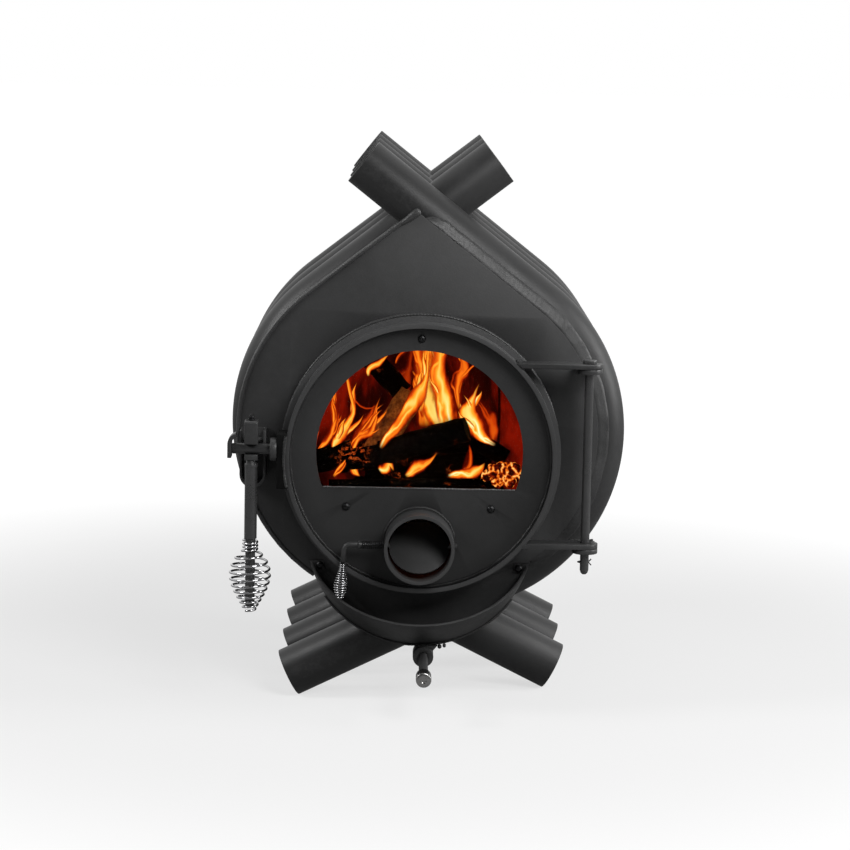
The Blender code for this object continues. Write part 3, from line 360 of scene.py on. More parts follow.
def turned_metal_group():
    """Fine marks of drawing or turning, with a little variation in brightness."""
    tree, give, take = group(
        "drawn_marks",
        [("Tone", "Color", (0.6, 0.6, 0.6, 1)), ("Rough", "Float", 0.15), ("Scale", "Float", 300.0)],
        [("Color", "Color"), ("Roughness", "Float"), ("Height", "Float")])
    place = here(tree)
    marks = grain(tree, place, give["Scale"], 4, 0.7)
    shade = spread(tree, marks, 0.25, 0.75, 0.86, 1.08)
    put(tree, take, Color=tint(tree, give["Tone"], shade), Height=marks,
        Roughness=added(tree, grain(tree, place, 60, 2), 0.10, give["Rough"]))
    return tree


HEAT_PAINT = heat_paint_group()
RUBBED = wear_group()
DRAWN = turned_metal_group()


def material(name, metallic=0.0, specular=0.5):
    made = bpy.data.materials.new(name)
    made.use_nodes = True
    shader = made.node_tree.nodes["Principled BSDF"]
    feed(made.node_tree, shader, {"Metallic": metallic, "Specular IOR Level": specular})
    return made, made.node_tree, shader


def place_group(tree, kind, **values):
    made = tree.nodes.new("ShaderNodeGroup")
    made.node_tree = kind
    feed(tree, made, values)
    return made.outputs


def dress(tree, shader, base, rough, height=None, depth=0.0, glow=None, strength=1.0):
    """Give a shader its base colour and roughness, and where it has them its relief and its glow."""
    feed(tree, shader, {"Base Color": base, "Roughness": rough})
    if height is not None:
        bump = node(tree, "Bump", {"Height": height, "Strength": 1.0, "Distance": depth})
        feed(tree, shader, {"Normal": bump.outputs["Normal"]})
    if glow is not None:
        feed(tree, shader, {"Emission Color": glow, "Emission Strength": strength})


def distance(tree, across, up, centre):
    """Distance from a centre, seen from the front."""
    aside = less(tree, across, centre[0])
    above = less(tree, up, centre[1])
    return maths(tree, "SQRT", added(tree, above, above, times(tree, aside, aside)))


def door_wear_and_painted_light(tree, shade, rough):
    """Lighten the rim's front as wear and painted highlight and its outside as painted highlight, paint
    shade into the corner and onto the wall inside the rim, and paint the door darker towards its foot and
    lighter towards its top.
    """
    spot = parts_of(tree, here(tree))
    reach = distance(tree, spot["X"], spot["Z"], DOOR)
    front = spread(tree, spot["Y"], RIM_FACE + 0.0008, RIM_FACE + 0.0024, 1.0, 0.0)
    # Painted shade: darker in the corner inside the rim and on the rim's inner wall.
    corner = spread(tree, reach, RIM_INNER - 0.026, RIM_INNER - 0.003)
    wall = spread(tree, reach, RIM_INNER - 0.0025, RIM_INNER - 0.0005)
    # Painted highlight on the rim's outside; the front's lighter band is wear and painted highlight.
    outside = spread(tree, reach, RIM_R - 0.0012, RIM_R - 0.0002)
    rubbed_and_highlit = most(tree, front, outside)
    held = less(tree, 1.0, rubbed_and_highlit)
    shade = added(tree, rubbed_and_highlit, RIM_RUB_AND_HIGHLIGHT_TONE, shade)
    for shaded, share in ((corner, CORNER_SHADE_TONE), (wall, WALL_SHADE_TONE)):
        shade = times(tree, shade, added(tree, times(tree, shaded, held), -share, 1.0))
    # Painted light: darker towards the door's foot and lighter towards its top.
    painted_light_slope = spread(tree, spot["Z"], DOOR[1] - 0.11, DOOR[1] + 0.15, 0.50, 1.40)
    return times(tree, shade, most(tree, painted_light_slope, rubbed_and_highlit)), added(tree, rubbed_and_highlit, -0.12, rough)


def paint(name, tone, rough=0.52, clouds=0.12, specks=0.10, patches=0.25, depth=0.00006, specular=0.42,
          wear_and_light=None):
    """Charcoal heat paint in one of its tones; wear_and_light adds a piece's own wear and, on the door,
    painted highlight and shade to its shade and roughness.
    """
    made, tree, shader = material(name, specular=specular)
    coat = place_group(tree, HEAT_PAINT, Tone=(tone, tone, tone * 1.01, 1), Clouds=clouds, Specks=specks,
                       Rough=rough)
    shade = maths(tree, "ADD", place_group(tree, RUBBED, Amount=patches)["Mask"], 1.0)
    rough = coat["Roughness"]
    if wear_and_light:
        shade, rough = wear_and_light(tree, shade, rough)
    dress(tree, shader, tint(tree, coat["Color"], shade), rough, coat["Height"], depth)
    return made


def soot(tree, shade, rough):
    """Blacken a tube on the fire's side, between the two end plates."""
    spot = parts_of(tree, here(tree))
    reach = distance(tree, spot["X"], spot["Z"], (0.0, BEND_Z))
    fire_side = spread(tree, reach, BEND_R - 0.006, BEND_R + 0.002, SOOT_TONE, 1.0)
    outside = spread(tree, absolute(tree, spot["Y"]), FLUE_Y - 0.060, FLUE_Y - 0.055)
    return times(tree, shade, most(tree, fire_side, outside)), rough


def brushed_and_soot(tree, shade, rough):
    """The first tube also has a brushed band beside the plate's weld."""
    place = here(tree)
    ragged = added(tree, grain(tree, place, 90, 3), 0.002, parts_of(tree, place)["Y"])
    near = spread(tree, ragged, *BRUSHED_BAND, 1.0, 0.0)
    blotch = spread(tree, grain(tree, place, 160, 4, 0.7), 0.42, 0.62)
    return soot(tree, added(tree, times(tree, near, blotch), BRUSHED_TONE, shade), rough)


def tube_paint(name, wear_and_light):
    return paint(name, 0.0185, 0.47, 0.10, 0.08, 0.2, specular=0.36, wear_and_light=wear_and_light)


def metal(name, tone, rough, scale=300.0, depth=0.00002):
    made, tree, shader = material(name, metallic=1.0)
    marks = place_group(tree, DRAWN, Tone=(*tone, 1), Rough=rough, Scale=scale)
    dress(tree, shader, marks["Color"], marks["Roughness"], marks["Height"], depth)
    return made


def fibre(name, tone, scale):
    """Woven glass-fibre rope or tape."""
    made, tree, shader = material(name, specular=0.2)
    place = here(tree)
    fine = grain(tree, place, scale, 4, 0.75)
    strands = node(tree, "TexVoronoi", {"Vector": place, "Scale": scale * 0.7}).outputs["Distance"]
    dress(tree, shader, tint(tree, tone, spread(tree, fine, 0.3, 0.7, 0.6, 1.25)),
          spread(tree, fine, 0.2, 0.8, 0.8, 1.0), strands, 0.0004)
    return made


def glass(name):
    """Clear ceramic glass with a faint soot film in its roughness."""
    made, tree, shader = material(name)
    film = spread(tree, grain(tree, here(tree), 22, 4), 0.4, 0.8, 0.0, 0.02)
    dress(tree, shader, (0.97, 0.95, 0.92, 1), film)
    feed(tree, shader, {"Transmission Weight": 1.0, "IOR": 1.06})
    return made


def scaled_steel(name):
    """Bare plate inside the firebox, scaled and sooted."""
    made, tree, shader = material(name, metallic=0.2, specular=0.3)
    place = here(tree)
    flakes = grain(tree, place, 60, 5, 0.7)
    rust = spread(tree, grain(tree, place, 20, 4), 0.45, 0.75)
    colour = mixed(tree, rust, (0.020, 0.018, 0.017, 1), (0.055, 0.030, 0.018, 1))
    dress(tree, shader, tint(tree, colour, spread(tree, flakes, 0.3, 0.7, 0.6, 1.3)),
          spread(tree, flakes, 0.3, 0.7, 0.65, 0.95), flakes, 0.0006)
    return made


PLATE_PAINT = paint("plate_paint", 0.026, clouds=0.08)
# The door's paint carries painted highlight on the rim, painted shade inside it and a painted slope of
# light from foot to top.
DOOR_PAINT = paint("door_paint", 0.020, clouds=0.08, wear_and_light=door_wear_and_painted_light)
FITTINGS_PAINT = paint("fittings_paint", 0.029, rough=0.39, patches=0.35)
HANDLED_PAINT = paint("handled_paint", 0.033, rough=0.31, patches=0.3, specular=0.65)
STRIP_PAINT = paint("strip_paint", 0.024, rough=0.50)
APRON_PAINT = paint("apron_paint", 0.020, rough=0.55)
WELD_PAINT = paint("weld_paint", 0.017, rough=0.46, clouds=0.2, specks=0.25, patches=0.5, depth=0.00015)
# Lighter weld paint: a painted highlight where the edge welds catch the light.
EDGE_WELD_HIGHLIGHT_PAINT = paint("edge_weld_highlight_paint", 0.034, rough=0.42, specks=0.2, depth=0.0001)
# Near-black paint for the latch's bearing: painted shade standing in for the shadow there.
SHADE_BLACK_PAINT = paint("shade_black_paint", 0.003, rough=0.75, specular=0.10)
DAMPER_PAINT = paint("damper_paint", 0.015, rough=0.6)
TUBE_PAINT = tube_paint("tube_paint", soot)
FIRST_TUBE_PAINT = tube_paint("first_tube_paint", brushed_and_soot)
SCREW_STEEL = metal("screw_steel", (0.035, 0.035, 0.036), 0.38)
CHROME = metal("chromed_wire", (0.52, 0.52, 0.53), 0.07, 500.0, 0.000004)
KNOB_STEEL = metal("turned_steel", (0.36, 0.355, 0.35), 0.22, 700.0, 0.00003)
ROPE = fibre("door_rope_fibre", (0.10, 0.095, 0.09), 900)
SEAL = fibre("glass_tape_fibre", (0.42, 0.41, 0.39), 1100)
CLEAR_GLASS = glass("clear_ceramic_glass")
BARE_STEEL = paint("burred_edge", 0.10, rough=0.5, clouds=0.3, specks=0.5, patches=0.8)
SCALED = scaled_steel("scaled_firebox_steel")


# Shapes

def finish(name, data, body, coat, stands_for=()):
    """Link a finished piece, give it its material and let it ride."""
    data.materials.append(coat)
    piece = bpy.data.objects.new(name, data)
    bpy.context.scene.collection.objects.link(piece)
    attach(piece, body)
    if stands_for:
        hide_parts(*stands_for)


def mesh_of(name, bm):
    bmesh.ops.recalc_face_normals(bm, faces=bm.faces)
    mesh = bpy.data.meshes.new(name)
    bm.to_mesh(mesh)
    bm.free()
    mesh.shade_smooth()
    mesh.set_sharp_from_angle(angle=SHARP)
    return mesh


def piece(name, bm, body, slot="stove_paint", coat=FITTINGS_PAINT, stands_for=()):
    finish(name, mesh_of(name, bm), body, coat, stands_for)


def eased(bm, width, segments=2):
    """Take the sharpness off every edge that turns by more than the angle for smooth shading."""
    bmesh.ops.remove_doubles(bm, verts=bm.verts, dist=0.000002)
    bmesh.ops.recalc_face_normals(bm, faces=bm.faces)
    edges = [edge for edge in bm.edges if len(edge.link_faces) == 2 and edge.calc_face_angle() > SHARP]
    bmesh.ops.bevel(bm, geom=edges, offset=width, offset_type="OFFSET", affect="EDGES", segments=segments,
                    profile=0.5, material=-1, clamp_overlap=True)
    return bm


def at(spot, y):
    """Put a spot of the front view, (x, z), at a depth."""
    return spot[0], y, spot[1]


def turn_to(way):
    """Turn that takes the Z axis to another way."""
    return Vector((0, 0, 1)).rotation_difference(Vector(way)).to_matrix()


def arc(centre, radius, start, stop, steps):
    points = []
    for index in range(steps + 1):
        angle = start + (stop - start) * index / steps
        points.append((centre[0] + radius * math.cos(angle), centre[1] + radius * math.sin(angle)))
    return points


def prism(outline, low, high, axis="Y"):
    """Extrude a flat outline along X or Y."""
    bm = bmesh.new()
    spots = [(low, a, b) if axis == "X" else (a, low, b) for a, b in outline]
    face = bm.faces.new([bm.verts.new(spot) for spot in spots])
    grown = bmesh.ops.extrude_face_region(bm, geom=[face])
    moved = [item for item in grown["geom"] if isinstance(item, bmesh.types.BMVert)]
    step = (high - low, 0, 0) if axis == "X" else (0, high - low, 0)
    bmesh.ops.translate(bm, verts=moved, vec=step)
    return bm


def turned(profile, base, direction=(0, 1, 0), steps=SPIN_STEPS):
    """Spin a profile of (radius, height) points about an axis through base."""
    bm = bmesh.new()
    verts = [bm.verts.new((radius, 0, height)) for radius, height in profile]
    edges = [bm.edges.new(pair) for pair in zip(verts, verts[1:])]
    if min(radius for radius, height in profile) > 0:
        edges.append(bm.edges.new((verts[-1], verts[0])))
    bmesh.ops.spin(bm, geom=verts + edges, cent=(0, 0, 0), axis=(0, 0, 1), angle=math.tau, steps=steps,
                   use_merge=True)
    bmesh.ops.remove_doubles(bm, verts=bm.verts, dist=0.000002)
    turn = turn_to(direction).to_4x4()
    bmesh.ops.transform(bm, matrix=Matrix.Translation(base) @ turn, verts=bm.verts)
    return bm


def disc(radius, low, high):
    return [(0, low), (radius, low), (radius, high), (0, high)]


def ring(inner, outer, low, high):
    return [(inner, low), (outer, low), (outer, high), (inner, high)]


def drill(radius, place, reach=(-0.010, 0.020), along=(0, 1, 0), steps=24):
    """A round tool that bores through place, from one end of its reach to the other."""
    return turned(disc(radius, *reach), place, along, steps)


def carved(bm, tools, operation="DIFFERENCE"):
    """Cut the tools out of a shape, or join them to it, with exact Booleans."""
    scene = bpy.context.scene.collection.objects
    shapes = []
    for index, shape in enumerate([bm] + tools):
        bmesh.ops.recalc_face_normals(shape, faces=shape.faces)
        mesh = bpy.data.meshes.new(f"carving_{index}")
        shape.to_mesh(mesh)
        shape.free()
        obj = bpy.data.objects.new(f"carving_{index}", mesh)
        scene.link(obj)
        shapes.append(obj)
    for tool in shapes[1:]:
        modifier = shapes[0].modifiers.new("carve", "BOOLEAN")
        modifier.operation = operation
        modifier.solver = "EXACT"
        modifier.object = tool
    graph = bpy.context.evaluated_depsgraph_get()
    result = bmesh.new()
    result.from_mesh(shapes[0].evaluated_get(graph).to_mesh())
    for obj in shapes:
        mesh = obj.data
        bpy.data.objects.remove(obj)
        bpy.data.meshes.remove(mesh)
    return result


def softened(name, node_name, body, width=0.0006, slot="stove_paint", coat=FITTINGS_PAINT):
    """Dress a CAD node: a merged copy with its edges eased."""
    bm = bmesh.new()
    bm.from_mesh(frame["nodes"][node_name].data)
    bmesh.ops.remove_doubles(bm, verts=bm.verts, dist=0.000005)
    bmesh.ops.dissolve_limit(bm, angle_limit=math.radians(0.6), verts=bm.verts, edges=bm.edges)
    eased(bm, width)
    piece(name, bm, body, slot, coat, (node_name,))


def wire(name, points, radius, body, coat, stands_for=(), rings=3, radii=None, cyclic=False):
    """A round wire, rod or bead along points."""
    curve = bpy.data.curves.new(name, "CURVE")
    curve.dimensions = "3D"
    curve.bevel_depth = radius
    curve.bevel_resolution = rings
    curve.use_fill_caps = not cyclic
    spline = curve.splines.new("POLY")
    spline.points.add(len(points) - 1)
    for index, point in enumerate(points):
        spline.points[index].co = (*point, 1)
        spline.points[index].radius = radii[index] if radii else 1
    spline.use_smooth = True
    spline.use_cyclic_u = cyclic
    finish(name, curve, body, coat, stands_for)


def spaced(points, step):
    """Points at an even step along a path."""
    result = [Vector(points[0])]
    left = step
    for start, stop in zip(points, points[1:]):
        start = Vector(start)
        way = Vector(stop) - start
        length = way.length
        done = left
        while done <= length:
            result.append(start + way * (done / length))
            done += step
        left = done - length
    return result


def bead(name, path, radius, body, cyclic=False, ripple=0.16, seed=0.0, coat=WELD_PAINT, wander=1.0):
    """A weld bead: overlapping scales along a path, uneven in width and height."""
    points = spaced(path, WELD_STEP)
    radii = []
    placed = []
    for index, point in enumerate(points):
        scale = abs(math.sin(index * 0.9 + seed))
        swell = noise.noise(point * 90 + Vector((seed, 0, 0)))
        radii.append(1 - ripple * scale + 0.28 * wander * swell)
        aside = Vector((noise.noise(point * 140), 0, noise.noise(point * 150)))
        placed.append(point + aside * (radius * 0.25 * wander))
    wire(name, placed, radius, body, coat, (), 2, radii, cyclic)


def round_bead(name, centre, y, radius, thick, body, steps=180, **looks):
    """A closed bead about a centre."""
    last = steps - 1
    path = [at(spot, y) for spot in arc(centre, radius, 0.0, math.tau * last / steps, last)]
    bead(name, path, thick, body, True, **looks)


def on_bend(out, turn, hand=1):
    return hand * (BEND_X + (BEND_R + out) * math.cos(turn)), BEND_Z + (BEND_R + out) * math.sin(turn)


def on_foot(out, run, hand=1):
    x, z = on_bend(out, FOOT_TURN)
    return hand * (x - math.cos(FOOT_SLOPE) * run), z - math.sin(FOOT_SLOPE) * run


def on_crown(out, run, hand=1):
    x, z = on_bend(out, CROWN_TURN)
    return hand * (x - math.cos(CROWN_SLOPE) * run), z + math.sin(CROWN_SLOPE) * run


def bend(out, hand=1, start=FOOT_TURN, stop=CROWN_TURN):
    return [on_bend(out, start + (stop - start) * i / BEND_STEPS, hand) for i in range(BEND_STEPS + 1)]


def limit(out, slope, turn):
    """Run along a straight leg to the wall of the tube that crosses it."""
    x = on_bend(0, turn)[0]
    apart = 2 * x * math.sin(slope) - out * math.cos(2 * slope)
    return (apart - TUBE_R - SEAT) / math.sin(2 * slope)


def swept(section, y, hand):
    """Carry a flat section, drawn at the foot's end, along the foot, round the bend and up the crown."""
    def carry(geom, step):
        grown = bmesh.ops.extrude_face_region(section, geom=geom)["geom"]
        verts = [item for item in grown if isinstance(item, bmesh.types.BMVert)]
        bmesh.ops.translate(section, verts=verts, vec=step)
        return [item for item in grown if isinstance(item, bmesh.types.BMFace)]

    foot = Vector((math.cos(FOOT_SLOPE), 0, math.sin(FOOT_SLOPE))) * FOOT_RUN
    crown = Vector((-math.cos(CROWN_SLOPE), 0, math.sin(CROWN_SLOPE))) * CROWN_RUN
    faces = carry(section.faces[:], foot)
    turned_round = bmesh.ops.spin(section, geom=faces, cent=(BEND_X, y, BEND_Z), axis=(0, -1, 0),
                                  angle=CROWN_TURN - FOOT_TURN, steps=BEND_STEPS)
    faces = [item for item in turned_round["geom_last"] if isinstance(item, bmesh.types.BMFace)]
    carry(faces, crown)
    if hand < 0:
        bmesh.ops.scale(section, vec=(-1, 1, 1), verts=section.verts)
    return section


def tubes():
    turn = turn_to((math.cos(FOOT_SLOPE), 0, math.sin(FOOT_SLOPE))).to_4x4()
    foot = on_foot(0, FOOT_RUN)
    for index in range(TUBE_COUNT):
        y = FIRST_Y + index * PITCH
        bm = bmesh.new()
        loops = []
        for radius in (TUBE_R, TUBE_R - TUBE_WALL):
            made = bmesh.ops.create_circle(bm, segments=TUBE_SIDES, radius=radius)
            loops += [edge for edge in bm.edges if edge.verts[0] in made["verts"]]
        bmesh.ops.bridge_loops(bm, edges=loops)
        bmesh.ops.transform(bm, matrix=Matrix.Translation(at(foot, y)) @ turn, verts=bm.verts)
        shape = eased(swept(bm, y, 1 if index % 2 == 0 else -1), 0.0007)
        piece(f"bent_tube_{index + 1}", shape, "stove", coat=TUBE_PAINT if index else FIRST_TUBE_PAINT,
              stands_for=(f"hot_air_tube_{index + 1}",))


def strip_outline(hand, inner, outer):
    def side(out):
        path = [on_foot(out, limit(out, FOOT_SLOPE, FOOT_TURN), hand)] + bend(out, hand)
        return path + [on_crown(out, limit(out, CROWN_SLOPE, CROWN_TURN), hand)]
    return side(outer) + side(inner)[::-1]


def strips():
    half = PITCH - TUBE_R - SEAT
    for index in range(1, TUBE_COUNT - 1):
        hand = -1 if index % 2 == 0 else 1
        y = FIRST_Y + index * PITCH
        outline = strip_outline(hand, -STRIP_T / 2, STRIP_T / 2)
        piece(f"gap_strip_{index}", eased(prism(outline, y - half, y + half), 0.0005), "stove",
              coat=STRIP_PAINT, stands_for=(f"side_strip_{index}",))
        out = STRIP_T / 2 + 0.0006
        spots = [on_foot(out, 0.05, hand)] + bend(out, hand) + [on_crown(out, 0.05, hand)]
        for side, label in ((-1, "front"), (1, "rear")):
            path = [at(spot, y + side * (half - 0.0004)) for spot in spots]
            bead(f"strip_weld_{index}_{label}", path, 0.0015, "stove", seed=index)
    inner = PLATE_REACH - STRIP_T
    to_tube = PITCH - math.sqrt(TUBE_R ** 2 - inner ** 2) - SEAT
    spans = {"front": (PLATE_BACK + SEAT, FIRST_Y + to_tube),
             "rear": (FIRST_Y + (TUBE_COUNT - 1) * PITCH - to_tube, REAR_FACE - PLATE_T - SEAT)}
    for label, span in spans.items():
        shape = eased(prism(strip_outline(-1, inner, PLATE_REACH), *span), 0.0006)
        piece(label + "_edge_strip", shape, "stove", coat=STRIP_PAINT, stands_for=(label + "_side_strip",))


def crossing(right_out, left_out, slope, turn, up):
    """Where a line beside the right path meets one beside the left path."""
    px, pz = on_bend(0, turn)
    base = pz + up * px * math.tan(slope)
    x = (right_out - left_out) / (2 * math.sin(slope))
    return x, base + up * right_out / math.cos(slope) - up * x * math.tan(slope)


def circles_meet(centre_a, radius_a, centre_b, radius_b, pick):
    a = Vector(centre_a)
    way = Vector(centre_b) - a
    apart = way.length
    along = (radius_a ** 2 - radius_b ** 2 + apart ** 2) / (2 * apart)
    side = Vector((-way.y, way.x)) / apart * math.sqrt(radius_a ** 2 - along ** 2)
    base = a + way / apart * along
    return max((base + side, base - side), key=lambda p: p.x * pick)


def plate_edges():
    """Right and left edge of the front plate, each from the apron up to the crown."""
    right = circles_meet((BEND_X, BEND_Z), BEND_R - PLATE_INSET, APRON, APRON_R, 1)
    left = circles_meet((-BEND_X, BEND_Z), BEND_R + PLATE_REACH, APRON, APRON_R, -1)
    right_turn = math.atan2(right.y - BEND_Z, right.x - BEND_X)
    left_turn = math.atan2(left.y - BEND_Z, -left.x - BEND_X)
    top = [crossing(-PLATE_INSET, PLATE_REACH, CROWN_SLOPE, CROWN_TURN, 1)]
    return bend(-PLATE_INSET, 1, right_turn) + top, bend(PLATE_REACH, -1, left_turn) + top


def front_plate():
    right_edge, left_edge = plate_edges()
    start, stop = [math.atan2(edge[0][1] - APRON[1], edge[0][0] - APRON[0]) + math.tau
                   for edge in (left_edge, right_edge)]
    floor = APRON[1] - APRON_R + 0.0015
    foot = [(x, max(z, floor)) for x, z in arc(APRON, APRON_R, start, stop, 40)[1:-1]]
    outline = right_edge + left_edge[:-1][::-1] + foot
    tools = [drill(COLLAR_BORE, at(DOOR, PLATE_FACE), steps=SPIN_STEPS)]
    tools += [drill(SCREW_BORE, at(spot, PLATE_FACE)) for spot in apron_screws()]
    bm = carved(prism(outline, PLATE_FACE, PLATE_BACK), tools)
    piece("teardrop_front", eased(bm, 0.0007), "stove", coat=PLATE_PAINT, stands_for=("front_plate",))


def rear_plate():
    outline = bend(-PLATE_INSET) + [crossing(-PLATE_INSET, PLATE_REACH, CROWN_SLOPE, CROWN_TURN, 1)]
    outline += bend(PLATE_REACH, -1)[::-1]
    outline += [crossing(-PLATE_INSET, PLATE_REACH, FOOT_SLOPE, FOOT_TURN, -1)]
    hole = drill(FLUE_R - FLUE_WALL, (0, REAR_FACE, FLUE_Z), steps=SPIN_STEPS)
    bm = carved(prism(outline, REAR_FACE - PLATE_T, REAR_FACE), [hole])
    piece("teardrop_rear", eased(bm, 0.0007), "stove", coat=PLATE_PAINT, stands_for=("rear_plate",))


def apron_screws():
    out = math.sqrt((APRON_R - APRON_T) ** 2 - APRON_SCREW_DROP ** 2) - 0.0078
    return [(APRON[0] + side, APRON[1] - APRON_SCREW_DROP) for side in (-out, out)]


# Section of the plate's broad weld: out from the plate's edge, and y
WELD_SECTION = [(-0.0012, -0.2016), (0.0012, -0.2014), (0.0040, -0.2003), (0.0070, -0.1987),
                (0.0098, -0.1974), (0.0122, -0.1962), (0.0135, -0.1945), (0.0060, -0.1930),
                (-0.0010, -0.1940)]

# End of the left weld: how far along it, and its share of the full thickness
WELD_END = [(-0.0040, 0.35), (-0.0030, 0.8), (-0.0010, 1.0), (0.004, 1.0), (0.010, 0.92), (0.016, 0.75),
            (0.022, 0.5)]


def plate_welds():
    """Broad weld from the plate down to the first tube on the right, and a round one on the left."""
    right_edge, left_edge = plate_edges()
    top = Vector(right_edge[-1]).lerp(Vector(right_edge[-2]), 0.06)
    along = spaced([at(spot, 0) for spot in [*right_edge[:-1], top]], 0.0016)
    last = len(along) - 1
    bm = bmesh.new()
    rows = []
    for index, spot in enumerate(along):
        way = (along[min(index + 1, last)] - along[max(index - 1, 0)]).normalized()
        out = Vector((way.z, 0, -way.x))
        taper = math.sqrt(min(min(index, last - index) / 14 + 0.02, 1.0))
        width = (1 + 0.08 * noise.noise(Vector((spot.x * 30, 7, spot.z * 30)))) * taper
        row = []
        for k, (o, y) in enumerate(WELD_SECTION):
            ripple = 0.00022 * abs(math.sin(index * 0.75 - o * 260)) if 0 < k < 6 else 0
            bulge = 0.0005 * noise.noise(Vector((spot.x * 60, k * 0.5, spot.z * 60))) if 0 < k < 7 else 0
            place = (spot.x + out.x * o * width, y - ripple - bulge, spot.z + out.z * o * width)
            row.append(bm.verts.new(place))
        rows.append(row)
    for end in (rows[0], rows[-1]):
        bm.faces.new(end)
    for low, high in zip(rows, rows[1:]):
        for k in range(len(low)):
            n = (k + 1) % len(low)
            bm.faces.new((low[k], low[n], high[n], high[k]))
    piece("right_plate_weld", bm, "stove", coat=WELD_PAINT)
    # The left weld and the bead at its crown end get the lighter weld paint, a painted highlight.
    left = [at(spot, PLATE_FACE + 0.0010) for spot in left_edge]
    bead("left_plate_weld", left, 0.0030, "stove", ripple=0.05, seed=2.0, wander=0.3, coat=EDGE_WELD_HIGHLIGHT_PAINT)
    tip, before = [Vector(at(spot, PLATE_FACE + 0.0005)) for spot in (left_edge[-1], left_edge[-2])]
    way = (before - tip).normalized()
    nub = [tip + way * far - Vector((0, 0, 0.0012)) for far, share in WELD_END]
    wire("crown_weld_end", nub, 0.0048, "stove", EDGE_WELD_HIGHLIGHT_PAINT, (), 4,
         [share for far, share in WELD_END])


def door_collar():
    bm = turned(ring(COLLAR_BORE, COLLAR_R, 0, PLATE_FACE - SEAT - COLLAR_FACE), at(DOOR, COLLAR_FACE))
    piece("opening_collar", eased(bm, 0.0008), "stove", coat=PLATE_PAINT, stands_for=("door_collar",))
    # The collar's weld gets the lighter weld paint, a painted highlight.
    round_bead("collar_weld", DOOR, PLATE_FACE - 0.0006, COLLAR_R + 0.0008, 0.0024, "stove", seed=1.0,
               coat=EDGE_WELD_HIGHLIGHT_PAINT, wander=0.6)


def window_outline(grow):
    radius = WINDOW_R + grow
    start = -math.asin((WINDOW_SILL + grow) / radius)
    return arc(WINDOW, radius, start, math.pi - start, 72)


def window_screws():
    low = WINDOW[1] - WINDOW_SILL - 0.0225
    top = WINDOW[1] + WINDOW_R + 0.0136
    return [(WINDOW[0], top), (WINDOW[0] - WINDOW_SCREW_X, low), (WINDOW[0] + WINDOW_SCREW_X, low)]


def door():
    profile = [(0, DISC_H), (RIM_INNER, DISC_H), (RIM_INNER, RIM_H), (RIM_R, RIM_H), (RIM_R, FLANGE_T),
               (FLANGE_R, FLANGE_T), (FLANGE_R, 0), (RIM_INNER, 0), (RIM_INNER, DISC_H - DISC_T),
               (0, DISC_H - DISC_T)]
    shell = turned(profile, at(DOOR, FLANGE_BACK), (0, -1, 0))
    tools = [prism(window_outline(0), DISC_FACE - 0.0025, DISC_BACK + 0.0025),
             drill(INLET_BORE, at(INLET, DISC_FACE), DISC_HOLE, steps=64)]
    tools += [drill(SCREW_BORE, at(spot, DISC_FACE), DISC_HOLE) for spot in window_screws()]
    piece("round_door", eased(carved(shell, tools), 0.0009, 3), "door", coat=DOOR_PAINT,
          stands_for=("door_shell",))
    round_bead("rim_fillet", DOOR, DISC_FACE - 0.0004, RIM_INNER - 0.0004, 0.0022, "door", ripple=0.06,
               seed=3.0, coat=DOOR_PAINT)
    middle = (COLLAR_BORE + COLLAR_R) / 2
    section = ring(middle - ROPE_W / 2, middle + ROPE_W / 2, 0, ROPE_T)
    rope = turned(section, at(DOOR, FLANGE_BACK + SEAT))
    piece("door_rope", eased(rope, 0.0008), "door", "gasket_rope", ROPE, ("door_gasket",))


# Screw's dome, as shares of its radius and height
SCREW_DOME = [(0, 1), (0.35, 0.97), (0.65, 0.82), (0.86, 0.52), (1, 0.12), (1, 0)]


def slotted_screw(name, place, length, body, node_name, tilt):
    """Round-head screw driven towards +Y, with its slot."""
    profile = [(SCREW_HEAD_R * out, -SCREW_HEAD_H * rise) for out, rise in SCREW_DOME]
    profile += [(SCREW_SHANK, 0), (SCREW_SHANK, length), (0, length)]
    slot = bmesh.new()
    bmesh.ops.create_cube(slot, size=1)
    bmesh.ops.scale(slot, vec=(2.4 * SCREW_HEAD_R, 0.0030, 0.0011), verts=slot.verts)
    spot = Matrix.Translation(Vector(place) - Vector((0, SCREW_HEAD_H, 0)))
    bmesh.ops.transform(slot, matrix=spot @ Matrix.Rotation(tilt, 4, "Y"), verts=slot.verts)
    bm = carved(turned(profile, place, steps=32), [slot])
    piece(name, eased(bm, 0.00015), body, "dark_steel", SCREW_STEEL, (node_name,))


def window():
    tape_y = DISC_BACK + SEAT
    tape = carved(prism(window_outline(GLASS_LAP), tape_y, tape_y + TAPE_T),
                  [prism(window_outline(0.001), tape_y - 0.002, tape_y + 0.004)])
    piece("glass_tape", eased(tape, 0.0005), "door", "glass_seal_fibre", SEAL, ("glass_seal",))
    pane_y = tape_y + TAPE_T + SEAT
    pane = prism(window_outline(GLASS_LAP), pane_y, pane_y + GLASS_T)
    piece("clear_window", eased(pane, 0.0003), "door", "ceramic_glass", CLEAR_GLASS, ("window_glass",))
    half = math.sqrt(WINDOW_R ** 2 - WINDOW_SILL ** 2) - 0.001
    sill = WINDOW[1] - WINDOW_SILL - 0.0001
    path = [(WINDOW[0] + end, DISC_FACE + 0.0001, sill) for end in (-half, half)]
    bead("sill_burr", path, 0.0011, "door", ripple=0.5, seed=5.0, coat=BARE_STEEL)
    for number, (spot, tilt) in enumerate(zip(window_screws(), (0.9, 0.5, 1.1)), 1):
        slotted_screw(f"pane_screw_{number}", at(spot, DISC_FACE - SEAT), WINDOW_SCREW_L, "door",
                      f"window_screw_{number}", tilt)
        softened(f"pane_clip_{number}", f"glass_clip_{number}", "door", 0.0004)


